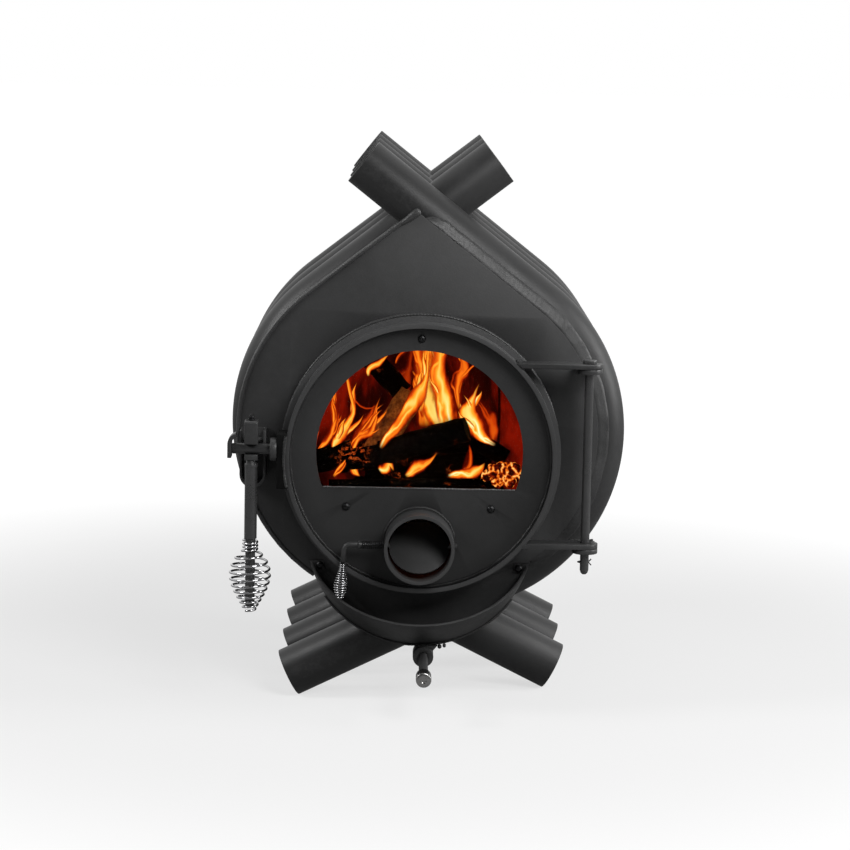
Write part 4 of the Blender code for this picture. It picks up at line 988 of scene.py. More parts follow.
def hinge():
    for label in ("upper", "lower"):
        softened(f"door_knuckle_{label}", f"door_leaf_{label}", "door", 0.0008)
        softened(f"fixed_knuckle_{label}", f"hinge_bracket_{label}", "stove", 0.0008)
        low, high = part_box(f"door_leaf_{label}")
        drop = (low.z + high.z) / 2 - DOOR[1]
        edge = DOOR[0] + math.sqrt(RIM_R ** 2 - drop ** 2)
        for side, z in (("top", high.z), ("low", low.z)):
            x = edge + (z - DOOR[1] - drop) * -0.8
            bead(f"knuckle_weld_{label}_{side}", [(x, low.y + 0.002, z), (x, high.y - 0.002, z)], 0.0020,
                 "door", seed=len(side))
        low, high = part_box(f"hinge_bracket_{label}")
        for side, z in (("top", high.z), ("low", low.z)):
            path = [(x, PLATE_FACE - 0.0004, z) for x in (low.x + 0.001, high.x - 0.001)]
            bead(f"bracket_weld_{label}_{side}", path, 0.0022, "stove", seed=len(label))
    x, y = HINGE
    low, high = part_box("hinge_pin")
    length = high.z - low.z
    neck = length - HINGE_HEAD_H
    profile = [(0, 0), (HINGE_PIN_R * 0.45, 0.0004), (HINGE_PIN_R * 0.8, 0.0022), (HINGE_PIN_R, 0.0055),
               (HINGE_PIN_R, neck), (HINGE_HEAD_R, neck), (HINGE_HEAD_R, length), (0, length)]
    spindle = turned(profile, (x, y, low.z), (0, 0, 1), 40)
    low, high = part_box("hinge_cotter")
    z = (low.z + high.z) / 2
    bore = drill(COTTER_BORE, (x, y, z), (-0.010, 0.010), (1, 0, 0), 20)
    piece("long_hinge_pin", eased(carved(spindle, [bore]), 0.0004), "stove", coat=HANDLED_PAINT,
          stands_for=("hinge_pin",))
    for sign, label, stands_for in ((-1, "lower", ("hinge_cotter",)), (1, "upper", ())):
        leg = z + sign * COTTER_APART
        points = [(low.x + 0.0010, y, z), (low.x + 0.0030, y, leg), (x, y, leg), (x + 0.0052, y, leg),
                  (high.x - 0.0012, y, z + sign * 0.0036)]
        wire(f"split_pin_{label}_leg", points, COTTER_WIRE_R, "stove", SCREW_STEEL,
             stands_for)


def helix(start, along, radius_at, height_at, turns, per_turn=28):
    """Coil about an axis; its radius and height are functions of the share of its turns."""
    axis = Vector(along).normalized()
    side = axis.orthogonal().normalized()
    other = axis.cross(side)
    points = []
    for index in range(turns * per_turn + 1):
        share = index / (turns * per_turn)
        angle = math.tau * index / per_turn
        out = side * math.cos(angle) + other * math.sin(angle)
        points.append(Vector(start) + axis * height_at(share) + out * radius_at(share))
    return points


def inlet():
    section = ring(INLET_BORE, INLET_R, 0, DISC_FACE - SEAT - INLET_MOUTH)
    pipe = turned(section, at(INLET, INLET_MOUTH), steps=96)
    bore = drill(SHAFT_R + SHAFT_CLEAR, at(INLET, SHAFT_Y), (-0.080, 0.080), (1, 0, 0))
    piece("air_pipe", eased(carved(pipe, [bore]), 0.0009, 3), "door", coat=DOOR_PAINT,
          stands_for=("air_inlet_pipe",))
    round_bead("air_pipe_weld", INLET, DISC_FACE - 0.0005, INLET_R + 0.0005, 0.0019, "door", 90,
               ripple=0.1, seed=4.0, coat=DOOR_PAINT)


def air_damper():
    """Cross shaft, let into its butterfly within the pipe and bent outside into a coil grip."""
    x, z = INLET
    left = x - SHAFT_REACH
    low = z - SHAFT_BEND_R
    wall = INLET_BORE - SHAFT_CLEAR
    thin = wall - 0.0030
    in_plate = Vector((0, math.cos(VALVE_TILT), -math.sin(VALVE_TILT))) * (SHAFT_R + SEAT + VALVE_T / 2)
    points = [Vector((x + out, SHAFT_Y, z)) for out in (INLET_R + 0.003, wall)]
    points += [Vector((x + out, SHAFT_Y, z)) + in_plate for out in (thin, -thin)]
    points += [Vector((end, SHAFT_Y, z)) for end in (x - wall, left)]
    points += [Vector(at(spot, SHAFT_Y))
               for spot in arc((left, low), SHAFT_BEND_R, math.pi / 2, math.pi, 12)[1:]]
    points += [Vector((left - SHAFT_BEND_R - 0.0009, SHAFT_Y, low - 0.013))]
    lean = (points[-1] - points[-2]).normalized()
    step = points[-1] + lean * 0.0003
    radii = [1, 1, 0.25, 0.25] + [1] * (len(points) - 4) + [SMALL_CORE_R / SHAFT_R] * 2
    wire("damper_crank", points + [step, points[-1] + lean * 0.038], SHAFT_R, "air_damper",
         FITTINGS_PAINT, ("damper_shaft",), 4, radii)
    softened("damper_butterfly", "damper_plate", "air_damper", 0.0004, coat=DAMPER_PAINT)
    softened("damper_collar", "damper_washer", "air_damper", 0.0003)
    coil_r = SHAFT_R + SHAFT_CLEAR + SPRING_WIRE_R
    room = SPRING_L - 2 * SPRING_WIRE_R
    coil = helix((x - INLET_R - SEAT - SPRING_WIRE_R, SHAFT_Y, z), (-1, 0, 0), lambda t: coil_r,
                 lambda t: room * t, SPRING_TURNS)
    wire("damper_drag_spring", coil, SPRING_WIRE_R, "air_damper", SCREW_STEEL,
         ("damper_spring",), 2)
    neck = SMALL_CORE_R + 0.0005 + SMALL_WIRE_R
    swell = SMALL_GRIP_R - SMALL_WIRE_R - neck
    coil = helix(step + lean * 0.00105, lean,
                 lambda t: neck + swell * math.sin(math.pi * t ** 1.9) ** 1.2 + 0.0006 * t,
                 lambda t: SMALL_GRIP_L * (0.85 * t + 0.15 * t * t), SMALL_GRIP_TURNS)
    wire("damper_coil_grip", coil, SMALL_WIRE_R, "air_damper", CHROME, ("damper_grip",))


def latch():
    x, y, z = LATCH
    # The bearing gets the near-black paint, a painted shade.
    softened("latch_bearing", "latch_arm", "door", 0.0008, coat=SHADE_BLACK_PAINT)
    softened("latch_finger", "latch_claw", "latch", 0.0007)
    softened("latch_block", "latch_lever", "latch")
    softened("keeper_cup", "latch_keeper", "stove")
    softened("keeper_rod", "keeper_bar", "stove", 0.0003)
    low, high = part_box("latch_spindle")
    reach = high.x - low.x
    plate = reach - (LEVER_T + SEAT)
    washer = plate - SPINDLE_WASHER_T
    profile = [(0, 0), (SPINDLE_R, 0), (SPINDLE_R, washer), (SPINDLE_WASHER_R, washer),
               (SPINDLE_WASHER_R, plate), (SPINDLE_R, plate), (SPINDLE_R, reach), (0, reach)]
    piece("latch_axle", eased(turned(profile, (low.x, y, z), (1, 0, 0), 64), 0.0009), "latch",
          stands_for=("latch_spindle",))
    latch_handle(x, y)
    latch_cap()
    low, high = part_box("latch_arm")
    for sign, label, depth in ((-1, "front", low.y), (1, "rear", high.y)):
        points = []
        for index in range(13):
            h = low.z + 0.002 + (high.z - low.z - 0.004) * index / 12
            points.append((DOOR[0] - math.sqrt((RIM_R + 0.0006) ** 2 - (h - DOOR[1]) ** 2), depth, h))
        bead("bearing_weld_" + label, points, 0.0020, "door", seed=6 + sign)


def latch_handle(x, y):
    """Hanging handle with its chromed coil grip."""
    low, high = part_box("latch_handle")
    end = low.z - high.z
    core = BIG_CORE_R
    profile = [(0, 0), (0.0060, 0), (0.0060, -0.0042), (0.0075, -0.0044), (0.0075, -0.0075),
               (HANDLE_R, -0.0079), (HANDLE_R, -HANDLE_L), (core, -HANDLE_L - 0.0006),
               (core, end + core / 2), (core / 2, end), (0, end)]
    piece("latch_stem", eased(turned(profile, (x, y, high.z), (0, 0, 1), 48), 0.0005), "latch",
          coat=HANDLED_PAINT, stands_for=("latch_handle",))
    turns = BIG_NECK_TURNS + BIG_BULB_TURNS
    neck_share = BIG_NECK_TURNS / turns
    neck_r = core + BIG_WIRE_R + 0.0010
    swell = BIG_GRIP_R - BIG_WIRE_R - neck_r + BIG_GRIP_CLOSE / 3

    def radius_at(share):
        if share <= neck_share:
            return neck_r
        bulb = (share - neck_share) / (1 - neck_share)
        return neck_r - BIG_GRIP_CLOSE * bulb + swell * max(math.sin(math.pi * bulb ** 0.66), 0) ** 1.4

    def height_at(share):
        neck = min(share / neck_share, 1) * BIG_NECK_TURNS * BIG_NECK_PITCH
        bulb = max((share - neck_share) / (1 - neck_share), 0)
        closing = (BIG_FIRST_PITCH - BIG_LAST_PITCH) * bulb ** 3 / 3
        return neck + BIG_BULB_TURNS * (BIG_FIRST_PITCH * bulb - closing)

    coil = helix((x, y, high.z - HANDLE_L - 0.0016), (0, 0, -1), radius_at, height_at, turns, 36)
    wire("latch_coil_grip", coil, BIG_WIRE_R, "latch", CHROME, ("latch_grip",), 4)


def latch_cap():
    """Cap screw on the latch's lever, as stud, nut and tip."""
    low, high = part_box("latch_cap_screw")
    x = (low.x + high.x) / 2
    y = (low.y + high.y) / 2
    seat = high.z - 0.0066
    shank = low.z - seat
    washer = 0.0014
    profile = [(0, shank), (0.0021, shank), (0.0021, 0), (0.0042, 0), (0.0042, washer), (0, washer)]
    stud = turned(profile, (x, y, seat), (0, 0, 1), 32)
    piece("cap_stud", eased(stud, 0.0002), "latch", "dark_steel", SCREW_STEEL, ("latch_cap_screw",))
    nut = bmesh.new()
    bmesh.ops.create_cone(nut, cap_ends=True, segments=6, radius1=0.0034, radius2=0.0034, depth=0.0036)
    bmesh.ops.translate(nut, vec=(x, y, seat + washer + 0.0018), verts=nut.verts)
    piece("cap_nut", eased(nut, 0.0004), "latch", "dark_steel", SCREW_STEEL)
    tip = turned([(0, 0), (0.0019, 0), (0.0019, 0.0010), (0.0012, 0.0016), (0, 0.0016)],
                 (x, y, seat + 0.0050), (0, 0, 1), 24)
    piece("cap_tip", eased(tip, 0.0002), "latch", "dark_steel", SCREW_STEEL)


def apron():
    """Half-round chute below the door, climbing towards its lip."""
    back = PLATE_FACE - SEAT
    far = APRON_REACH * 1.15
    ends = (math.pi - APRON_SWING, math.tau + APRON_SWING)
    outline = arc(APRON, APRON_R, *ends, 90) + arc(APRON, APRON_R - APRON_T, *ends[::-1], 90)
    bm = prism(outline, back, back - far)
    for vert in bm.verts:
        vert.co.z += (back - vert.co.y) * APRON_CLIMB / APRON_REACH
    high = APRON[1] - 0.035
    lip = APRON[1] - APRON_R + APRON_CLIMB + APRON_T
    tilt = (high - lip) / APRON_REACH
    side = 2 * APRON_R
    trim = [(back + 0.01, high + 0.01 * tilt), (back - far - 0.02, high - (far + 0.02) * tilt),
            (back - far - 0.02, high + side), (back + 0.01, high + side)]
    bm = carved(bm, [prism(trim, APRON[0] - side, APRON[0] + side, "X")])
    ears = []
    for index, (x, z) in enumerate(apron_screws()):
        way = -1 if index == 0 else 1
        wall = math.sqrt((APRON_R - APRON_T / 2) ** 2 - (z - APRON[1]) ** 2)
        left, right = sorted((x - way * 0.005, APRON[0] + way * wall))
        corners = [(left, z - 0.005), (right, z - 0.005), (right, z + 0.005), (left, z + 0.005)]
        ears.append(prism(corners, back - APRON_T, back))
        slotted_screw(f"chute_screw_{index + 1}", (x, back - APRON_T - SEAT, z), APRON_SCREW_L, "stove",
                      f"apron_screw_{index + 1}", 0.4 + index)
    bores = [drill(SCREW_BORE, at(spot, back)) for spot in apron_screws()]
    bm = carved(carved(bm, ears, "UNION"), bores)
    piece("ash_chute", eased(bm, 0.0006), "stove", coat=APRON_PAINT, stands_for=("ash_apron",))
    path = [at(spot, back - 0.0006)
            for spot in arc(APRON, APRON_R + 0.0006, math.radians(215), math.radians(325), 60)]
    bead("chute_weld", path, 0.0017, "stove", seed=8.0, coat=APRON_PAINT)


def pull_rod():
    softened("guide_bush", "rod_bush", "stove", 0.0008)
    low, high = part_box("pull_rod")
    length = high.y - low.y
    stop = PLATE_FACE - BUSH_AHEAD + BUSH_L + 0.0005 + ROD_TRAVEL - low.y
    behind = stop + ROD_STOP_T
    profile = [(0, 0), (ROD_R, 0), (ROD_R, stop), (ROD_STOP_R, stop), (ROD_STOP_R, behind),
               (ROD_R, behind), (ROD_R, length), (0, length)]
    piece("draught_rod", eased(turned(profile, at(ROD, low.y), steps=48), 0.0005), "pull_rod",
          stands_for=("pull_rod",))
    low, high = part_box("rod_knob")
    long = high.y - low.y
    profile = [(0, 0.0006), (KNOB_R * 0.30, 0.0006), (KNOB_R * 0.38, 0), (KNOB_R - 0.0014, 0),
               (KNOB_R - 0.0004, 0.0006), (KNOB_R, 0.0018), (KNOB_R, long - 0.0008),
               (KNOB_R - 0.0008, long), (0, long)]
    piece("turned_knob", eased(turned(profile, at(ROD, low.y), steps=96), 0.00025), "pull_rod",
          "bright_steel", KNOB_STEEL, ("rod_knob",))
    for index, (dx, dz, size) in enumerate(((0.0190, 0.0105, 0.0024), (0.0245, 0.0118, 0.0020))):
        place = Vector((ROD[0] + dx, PLATE_FACE - 0.004, ROD[1] + dz))
        points = [place + Vector((0, 0.003, 0.001)), place, place - Vector((0, 0.001, 0.001))]
        wire(f"weld_drop_{index + 1}", points, size, "stove", WELD_PAINT, (), 3,
             [1.0, 1.0, 0.5])


def flue():
    low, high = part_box("flue_collar")
    collar = turned(ring(FLUE_R - FLUE_WALL, FLUE_R, 0, high.y - low.y), (0, low.y, FLUE_Z))
    bore = drill(FLUE_SHAFT_R + SHAFT_CLEAR, (0, FLUE_Y, FLUE_Z), (-0.120, 0.120), (1, 0, 0))
    piece("flue_spigot", eased(carved(collar, [bore]), 0.0008), "stove", coat=TUBE_PAINT,
          stands_for=("flue_collar",))
    round_bead("flue_weld", (0, FLUE_Z), REAR_FACE + 0.0007, FLUE_R + 0.0007, 0.0024, "stove", 120,
               seed=9.0)
    softened("flue_butterfly", "flue_damper_plate", "flue_damper", 0.0004)
    right = FLUE_R + 0.016
    bend_r = 2 * FLUE_SHAFT_R
    turn = arc((right, FLUE_Y + bend_r), bend_r, -math.pi / 2, 0, 12)
    points = [(-FLUE_R - FLUE_SHAFT_R, FLUE_Y, FLUE_Z)] + [(a, b, FLUE_Z) for a, b in turn]
    points += [(right + bend_r, FLUE_Y + 0.045, FLUE_Z)]
    wire("flue_crank", points, FLUE_SHAFT_R, "flue_damper", FITTINGS_PAINT,
         ("flue_damper_shaft",), 4)


def baffle():
    softened("baffle_shelf", "baffle_plate", "stove", 0.0005, "scaled_steel", SCALED)


# Fire

def ramp_of(tree, value, stops):
    ramp = node(tree, "ValToRGB", {"Fac": value})
    points = ramp.color_ramp.elements
    while len(points) < len(stops):
        points.new(0.5)
    for point, (position, colour) in zip(points, stops):
        point.position = position
        point.color = (*colour, 1)
    return ramp.outputs["Color"]


def flame_group():
    """Heat of a flame tongue: a dim veil across its sheet, with bright filaments that wander up it."""
    tree, give, take = group(
        "flame_heat", [("Heat", "Float", 1.0), ("Fill", "Float", 0.4), ("Soft", "Float", 1.0)],
        [("Color", "Color"), ("Mask", "Float")])
    sheet = parts_of(tree, node(tree, "TexCoord").outputs["UV"])
    tall = stretched(tree, here(tree), (1.0, 1.0, 0.4))
    beside = stretched(tree, here(tree), (0.8, 1.0, 0.5), (0.3, 0.1, 0.2))
    bent = added(tree, sheet["X"], 2.0, -1.0)
    bent = added(tree, less(tree, grain(tree, tall, 55, 2, 0.5), 0.5), 1.1, bent)
    bent = added(tree, less(tree, grain(tree, tall, 120, 3, 0.5), 0.5), 0.35, bent)
    veil = spread(tree, absolute(tree, bent), 0.30, 1.0, 1.0, 0.0)
    first = added(tree, grain(tree, tall, 34, 2, 0.45), 2.6, -1.3)
    second = added(tree, grain(tree, beside, 48, 2, 0.45), 3.2, -1.6)
    wide = spread(tree, absolute(tree, less(tree, bent, first)), 0.0, 0.50, 1.0, 0.0)
    thin = spread(tree, absolute(tree, less(tree, bent, second)), 0.0, 0.24, 0.85, 0.0)
    heat = added(tree, most(tree, wide, thin), less(tree, 0.98, give["Fill"]), give["Fill"])
    core = added(tree, sheet["Y"], -0.24, 1.04)
    heat = times(tree, times(tree, heat, times(tree, veil, core)), give["Heat"])
    stops = [(0.0, (0.03, 0.0005, 0.0)), (0.28, (0.20, 0.007, 0.0005)), (0.48, (0.56, 0.045, 0.002)),
             (0.66, (0.94, 0.19, 0.008)), (0.82, (1.0, 0.44, 0.035)), (0.95, (1.0, 0.74, 0.19)),
             (1.0, (1.0, 0.90, 0.50))]
    foot = spread(tree, sheet["Y"], 0.0, 0.20)
    tip = spread(tree, sheet["Y"], 0.70, 1.0, 1.0, 0.0)
    seen = times(tree, spread(tree, heat, 0.10, 0.55), times(tree, foot, tip))
    put(tree, take, Color=ramp_of(tree, heat, stops),
        Mask=maths(tree, "MULTIPLY", seen, give["Soft"], clamp=True))
    return tree


FLAME_HEAT = flame_group()


def flame_material(name, heat, fill, soft):
    made, tree, shader = material(name, specular=0.0)
    tongue = place_group(tree, FLAME_HEAT, Heat=heat, Fill=fill, Soft=soft)
    dress(tree, shader, (0, 0, 0, 1), 1.0, glow=tongue["Color"], strength=1.15)
    feed(tree, shader, {"Alpha": tongue["Mask"]})
    return made


def charred(name, glow, scale=70.0):
    """Charred bark with embers alight in its cracks, above the bed."""
    made, tree, shader = material(name, specular=0.03)
    place = here(tree)
    rough = grain(tree, place, 160, 5, 0.7)
    veins = grain(tree, place, scale, 4, 0.6, 0.8)
    ridge = less(tree, 1.0, absolute(tree, added(tree, veins, 2.0, -1.0)))
    crack = spread(tree, ridge, 0.94, 1.0)
    alight = times(tree, crack, spread(tree, grain(tree, place, 26, 3), 0.54, 0.72))
    alight = times(tree, alight, spread(tree, parts_of(tree, place)["Z"], *EMBER_LEVEL))
    ember = mixed(tree, rough, (0.75, 0.03, 0.004, 1), (1.0, 0.20, 0.02, 1))
    dress(tree, shader, tint(tree, (0.005, 0.003, 0.002), spread(tree, rough, 0.3, 0.7, 0.3, 1.6)),
          spread(tree, rough, 0.3, 0.7, 0.8, 0.98), less(tree, rough, times(tree, crack, 0.6)), 0.0012,
          tint(tree, ember, times(tree, alight, glow)))
    return made


def split_wood(name):
    """Split face of a log, browned and lit by the fire."""
    made, tree, shader = material(name, specular=0.1)
    place = here(tree)
    fibres = grain(tree, place, 240, 5, 0.75)
    scorch = spread(tree, grain(tree, place, 45, 4), 0.36, 0.62)
    colour = mixed(tree, scorch, (0.030, 0.006, 0.002, 1), (0.26, 0.070, 0.012, 1))
    dress(tree, shader, tint(tree, colour, spread(tree, fibres, 0.3, 0.7, 0.5, 1.4)), 0.9, fibres, 0.0015,
          tint(tree, colour, spread(tree, fibres, 0.3, 0.75, 0.2, 0.9)), 0.75)
    return made


def glowing_wall(name):
    """Back of the firebox: soot with the fire's dark red light on it painted as glow, brightest on the
    right-hand lining.
    """
    made, tree, shader = material(name, specular=0.05)
    place = here(tree)
    tall = stretched(tree, place, (1.0, 1.0, 0.45))
    streaks = grain(tree, tall, 75, 4, 0.6)
    spot = parts_of(tree, place)
    ragged = added(tree, streaks, 0.004, spot["X"])
    lining = times(tree, spread(tree, ragged, *LINING_EDGE), spread(tree, spot["Z"], *LINING_TOP))
    joint = spread(tree, absolute(tree, less(tree, ragged, LINING_JOINT)), 0.0, 0.0025)
    # The glow is the fire's red light on the wall, painted; the lining's step and its dark joint are its
    # own.
    heat = added(tree, streaks, 0.35, grain(tree, tall, 16, 4, 0.55, 0.8))
    heat = maths(tree, "ADD", heat, times(tree, lining, 0.16))
    heat = times(tree, spread(tree, heat, 0.46, 1.02), joint)
    stops = [(0.0, (0.002, 0.0003, 0.0003)), (0.35, (0.022, 0.001, 0.0004)), (0.65, (0.10, 0.003, 0.0006)),
             (1.0, (0.25, 0.007, 0.001))]
    dress(tree, shader, (0.008, 0.004, 0.003, 1), 0.95, streaks, 0.002, ramp_of(tree, heat, stops))
    return made


def ember_material(name):
    """Embers at white heat, scabbed with dark ash."""
    made, tree, shader = material(name, specular=0.1)
    place = here(tree)
    scabs = node(tree, "TexVoronoi", {"Vector": place, "Scale": 85.0}, feature="DISTANCE_TO_EDGE")
    fine = grain(tree, place, 150, 4, 0.6)
    heat = added(tree, fine, 1.05, spread(tree, scabs.outputs["Distance"], 0.01, 0.22, 0.36, 0.0))
    stops = [(0.0, (0.01, 0.0005, 0.0003)), (0.40, (0.22, 0.010, 0.001)), (0.66, (0.95, 0.19, 0.008)),
             (1.0, (1.0, 0.74, 0.22))]
    glow = ramp_of(tree, spread(tree, heat, 0.46, 1.12), stops)
    dress(tree, shader, (0.02, 0.012, 0.010, 1), 0.95, fine, 0.001, glow, 1.1)
    return made


# Flame tongues: heat, y, then (x, z, half width) from foot to tip, in millimetres
TONGUES = {
    "tall_flame": (1.0, -128, [(24, 318, 10.5), (22, 337, 12.8), (15, 361, 11.7), (11, 382, 9.3),
                               (12, 404, 9.3), (11, 420, 7)]),
    "left_tongue": (1.0, -156, [(-53, 292, 1.7), (-47, 303, 4.6), (-34, 318, 5.8), (-20, 338, 8.1),
                                (-9, 357, 8.1), (-2, 377, 4.6), (0, 400, 4.6), (0, 416, 3.5)]),
    "right_peak": (1.08, -138, [(80, 296, 1.7), (65, 305, 5.8), (56, 318, 9.3), (48, 332, 10.5),
                                (52, 349, 7), (60, 368, 1.2)]),
    "right_plume": (0.72, -112, [(37, 331, 5.9), (34, 350, 7), (35, 369, 8.2), (41, 381, 9.4),
                                 (40, 393, 8.2), (28, 404, 4.7)]),
    "right_back": (0.55, -104, [(76, 294, 5.9), (77, 315, 7), (68, 332, 7), (56, 344, 3.5)]),
    "heart_flame": (0.94, -118, [(16, 312, 7), (9, 334, 14), (3, 356, 15), (0, 380, 12), (4, 402, 11),
                                 (8, 425, 9)]),
    "heart_left": (0.85, -122, [(-6, 330, 4), (-8, 350, 8), (-6, 372, 9), (-10, 394, 8), (-14, 420, 7)]),
    "centre_veil": (0.72, -96, [(11, 312, 26), (6, 336, 26), (-1, 360, 21), (-4, 384, 18), (-2, 408, 14)]),
    "far_left_flame": (0.78, -132, [(-128, 279, 1.7), (-119, 291, 3.5), (-108, 309, 4.7), (-105, 327, 4.1),
                                    (-109, 345, 3.5), (-113, 359, 2.3)]),
    "left_edge_flame": (0.62, -130, [(-129, 270, 2.3), (-129, 291, 3.5), (-123, 309, 2.3)]),
    "left_wave": (0.95, -140, [(-108, 280, 1.2), (-105, 293, 4.6), (-98, 305, 5.8), (-90, 320, 3.5),
                               (-84, 335, 2.9), (-88, 352, 2.9), (-92, 370, 4.6), (-95, 386, 3.5)]),
    "arching_wisp": (0.5, -118, [(-89, 349, 1.8), (-76, 336, 1.9), (-65, 333, 1.9), (-55, 339, 1.4)]),
    "middle_left": (0.82, -134, [(-83, 267, 1.7), (-84, 286, 2.9), (-80, 301, 5.8), (-70, 310, 8.1),
                                 (-62, 322, 5.8), (-59, 337, 3.5), (-53, 350, 1.2)]),
    "middle_haze": (0.55, -116, [(-79, 295, 8.2), (-74, 314, 9.4), (-65, 326, 7), (-60, 338, 3.5)]),
    "low_blob": (1.0, -150, [(-54, 266, 3.5), (-48, 270, 6.9), (-42, 274, 4.6), (-37, 266, 2.3)]),
    "low_left": (0.85, -148, [(-106, 257, 2.3), (-99, 266, 3.5), (-94, 274, 2.9), (-90, 282, 1.2)]),
    "low_left_drop": (0.95, -150, [(-88, 274, 1.2), (-83, 265, 4.6), (-76, 259, 2.3)]),
    "low_middle": (0.92, -152, [(-24, 261, 2.3), (-16, 267, 5.8), (-7, 273, 6.9), (5, 280, 3.5),
                                (13, 290, 1.2)]),
    "low_right": (1.05, -150, [(25, 262, 2.3), (38, 263, 4.6), (52, 264, 5.8), (62, 270, 6.9),
                               (68, 277, 1.7)]),
    "right_curl": (0.6, -146, [(44, 264, 4.6), (49, 276, 5.8), (51, 288, 4.6), (49, 298, 1.7)]),
    "top_left_lick": (0.95, -124, [(-68, 371, 1.2), (-67, 379, 3.5), (-58, 385, 3.5), (-51, 392, 2.9),
                                   (-45, 397, 1.2)]),
    "top_wisp": (0.6, -118, [(-37, 385, 1.8), (-33, 394, 2.3), (-23, 402, 2.3), (-14, 409, 1.8)]),
    "top_curl": (0.7, -120, [(-18, 378, 1.4), (-11, 369, 2.3), (-3, 371, 2.3), (0, 383, 2.3),
                             (-9, 393, 1.8)]),
    "top_red_veil": (0.42, -92, [(-32, 347, 10.6), (-30, 367, 14), (-27, 387, 14), (-21, 407, 10.6)]),
}

# Logs: kind of material, radius, then both ends as (x, y, z), in millimetres
LOGS = {
    "main_log": ("char", 14.5, (-52, -138, 285), (46, -158, 317)),
    "brown_wood": ("wood", 16.0, (-60, -126, 282), (-17, -122, 352)),
    "upper_log": ("char", 12.9, (-68, -104, 391), (-27, -112, 351)),
    "right_log": ("char", 10.5, (40, -128, 308), (93, -132, 280)),
    "left_log": ("char", 15.0, (-128, -128, 272), (-84, -136, 286)),
    "middle_log": ("char", 14.0, (-92, -140, 274), (-36, -142, 286)),
    "cross_log": ("char", 15.0, (-70, -112, 262), (76, -118, 270)),
    "rear_log": ("char", 17.0, (-104, -86, 268), (60, -80, 286)),
    "front_bar": ("char", 4.4, (-112, -166, 253), (66, -166, 257)),
}

# Embers: x, y, z and half their size, in millimetres
EMBERS = [(78, -150, 268, 6.5), (90, -148, 271, 7.0), (102, -146, 268, 7.0), (84, -154, 257, 6.5),
          (97, -154, 256, 6.0), (108, -148, 259, 6.0), (70, -142, 261, 5.5), (92, -140, 262, 8.0)]


def smooth_path(knots, share):
    """Point on a Catmull-Rom curve through the knots at a share from 0 to 1."""
    span = share * (len(knots) - 1)
    index = min(int(span), len(knots) - 2)
    t = span - index
    a, b = knots[max(index - 1, 0)], knots[index]
    c, d = knots[index + 1], knots[min(index + 2, len(knots) - 1)]
    return b + (c - a) * (0.5 * t) + (a * 2 - b * 5 + c * 4 - d) * (0.5 * t * t) \
        + (b * 3 - a - c * 3 + d) * (0.5 * t * t * t)


def flame_sheet(bm, knots, depth):
    """Add a tapering sheet that follows the knots, bellied towards the window, with its own UVs."""
    tapers = knots[-1].y < 0.006
    made = bmesh.ops.create_grid(bm, x_segments=10, y_segments=28, size=0.5, calc_uvs=True)["verts"]
    for vert in made:
        u = vert.co.x * 2
        v = vert.co.y + 0.5
        spot = smooth_path(knots, v)
        ahead = smooth_path(knots, min(v + 0.02, 1.0)) - smooth_path(knots, max(v - 0.02, 0.0))
        way = Vector((ahead.x, 0, ahead.z)).normalized()
        side = Vector((way.z, 0, -way.x))
        half = max(spot.y, 0.0006) * 1.5
        if tapers:
            half *= 1 - 0.8 * max(v - 0.55, 0) / 0.45
        flutter = 0.0025 * noise.noise(Vector((spot.x * 30, depth * 90, spot.z * 30)))
        belly = 0.25 * half * (1 - u * u)
        vert.co = Vector((spot.x, depth + flutter - belly, spot.z)) + side * (u * half)


def licks(knots, dice):
    """Short side flames that leave a tongue and curl upwards."""
    found = []
    for side_flame in range(4):
        share = dice.uniform(0.15, 0.75)
        spot = smooth_path(knots, share)
        ahead = smooth_path(knots, share + 0.03) - spot
        way = Vector((ahead.x, 0, ahead.z)).normalized()
        out = Vector((way.z, 0, -way.x)) * dice.choice((-1, 1))
        long = dice.uniform(0.014, 0.040)
        fat = dice.uniform(0.0016, 0.0040)
        base = Vector((spot.x, 0, spot.z)) + out * spot.y * 0.4
        path = [base]
        for along, apart in ((0.35, 0.06), (0.70, 0.17), (1.0, 0.16)):
            path.append(base + way * (along * long) + out * (apart * long))
        widths = [fat * left for left in (0.7, 1.0, 0.6, 0.0)]
        found.append([Vector((knot.x, half, knot.z)) for knot, half in zip(path, widths)])
    return found


def flames():
    materials = {}
    dice = random.Random(7)
    for name, (heat, depth, spine) in TONGUES.items():
        knots = [Vector((x, half, z)) / 1000 for x, z, half in spine]
        bm = bmesh.new()
        bm.loops.layers.uv.new("UVMap")
        flame_sheet(bm, knots, depth / 1000)
        if heat > 0.7 and knots[-1].z - knots[0].z > 0.05:
            for index, lick in enumerate(licks(knots, dice)):
                flame_sheet(bm, lick, (depth + 3 * index - 5) / 1000)
        bmesh.ops.solidify(bm, geom=bm.faces[:], thickness=0.0004)
        if heat not in materials:
            fill, soft = (0.66, 1.0) if heat >= 0.9 else (0.42, 0.88)
            materials[heat] = flame_material(f"flame_heat_{round(heat * 100)}", heat, fill, soft)
        finish(name, mesh_of(name, bm), "stove", materials[heat])


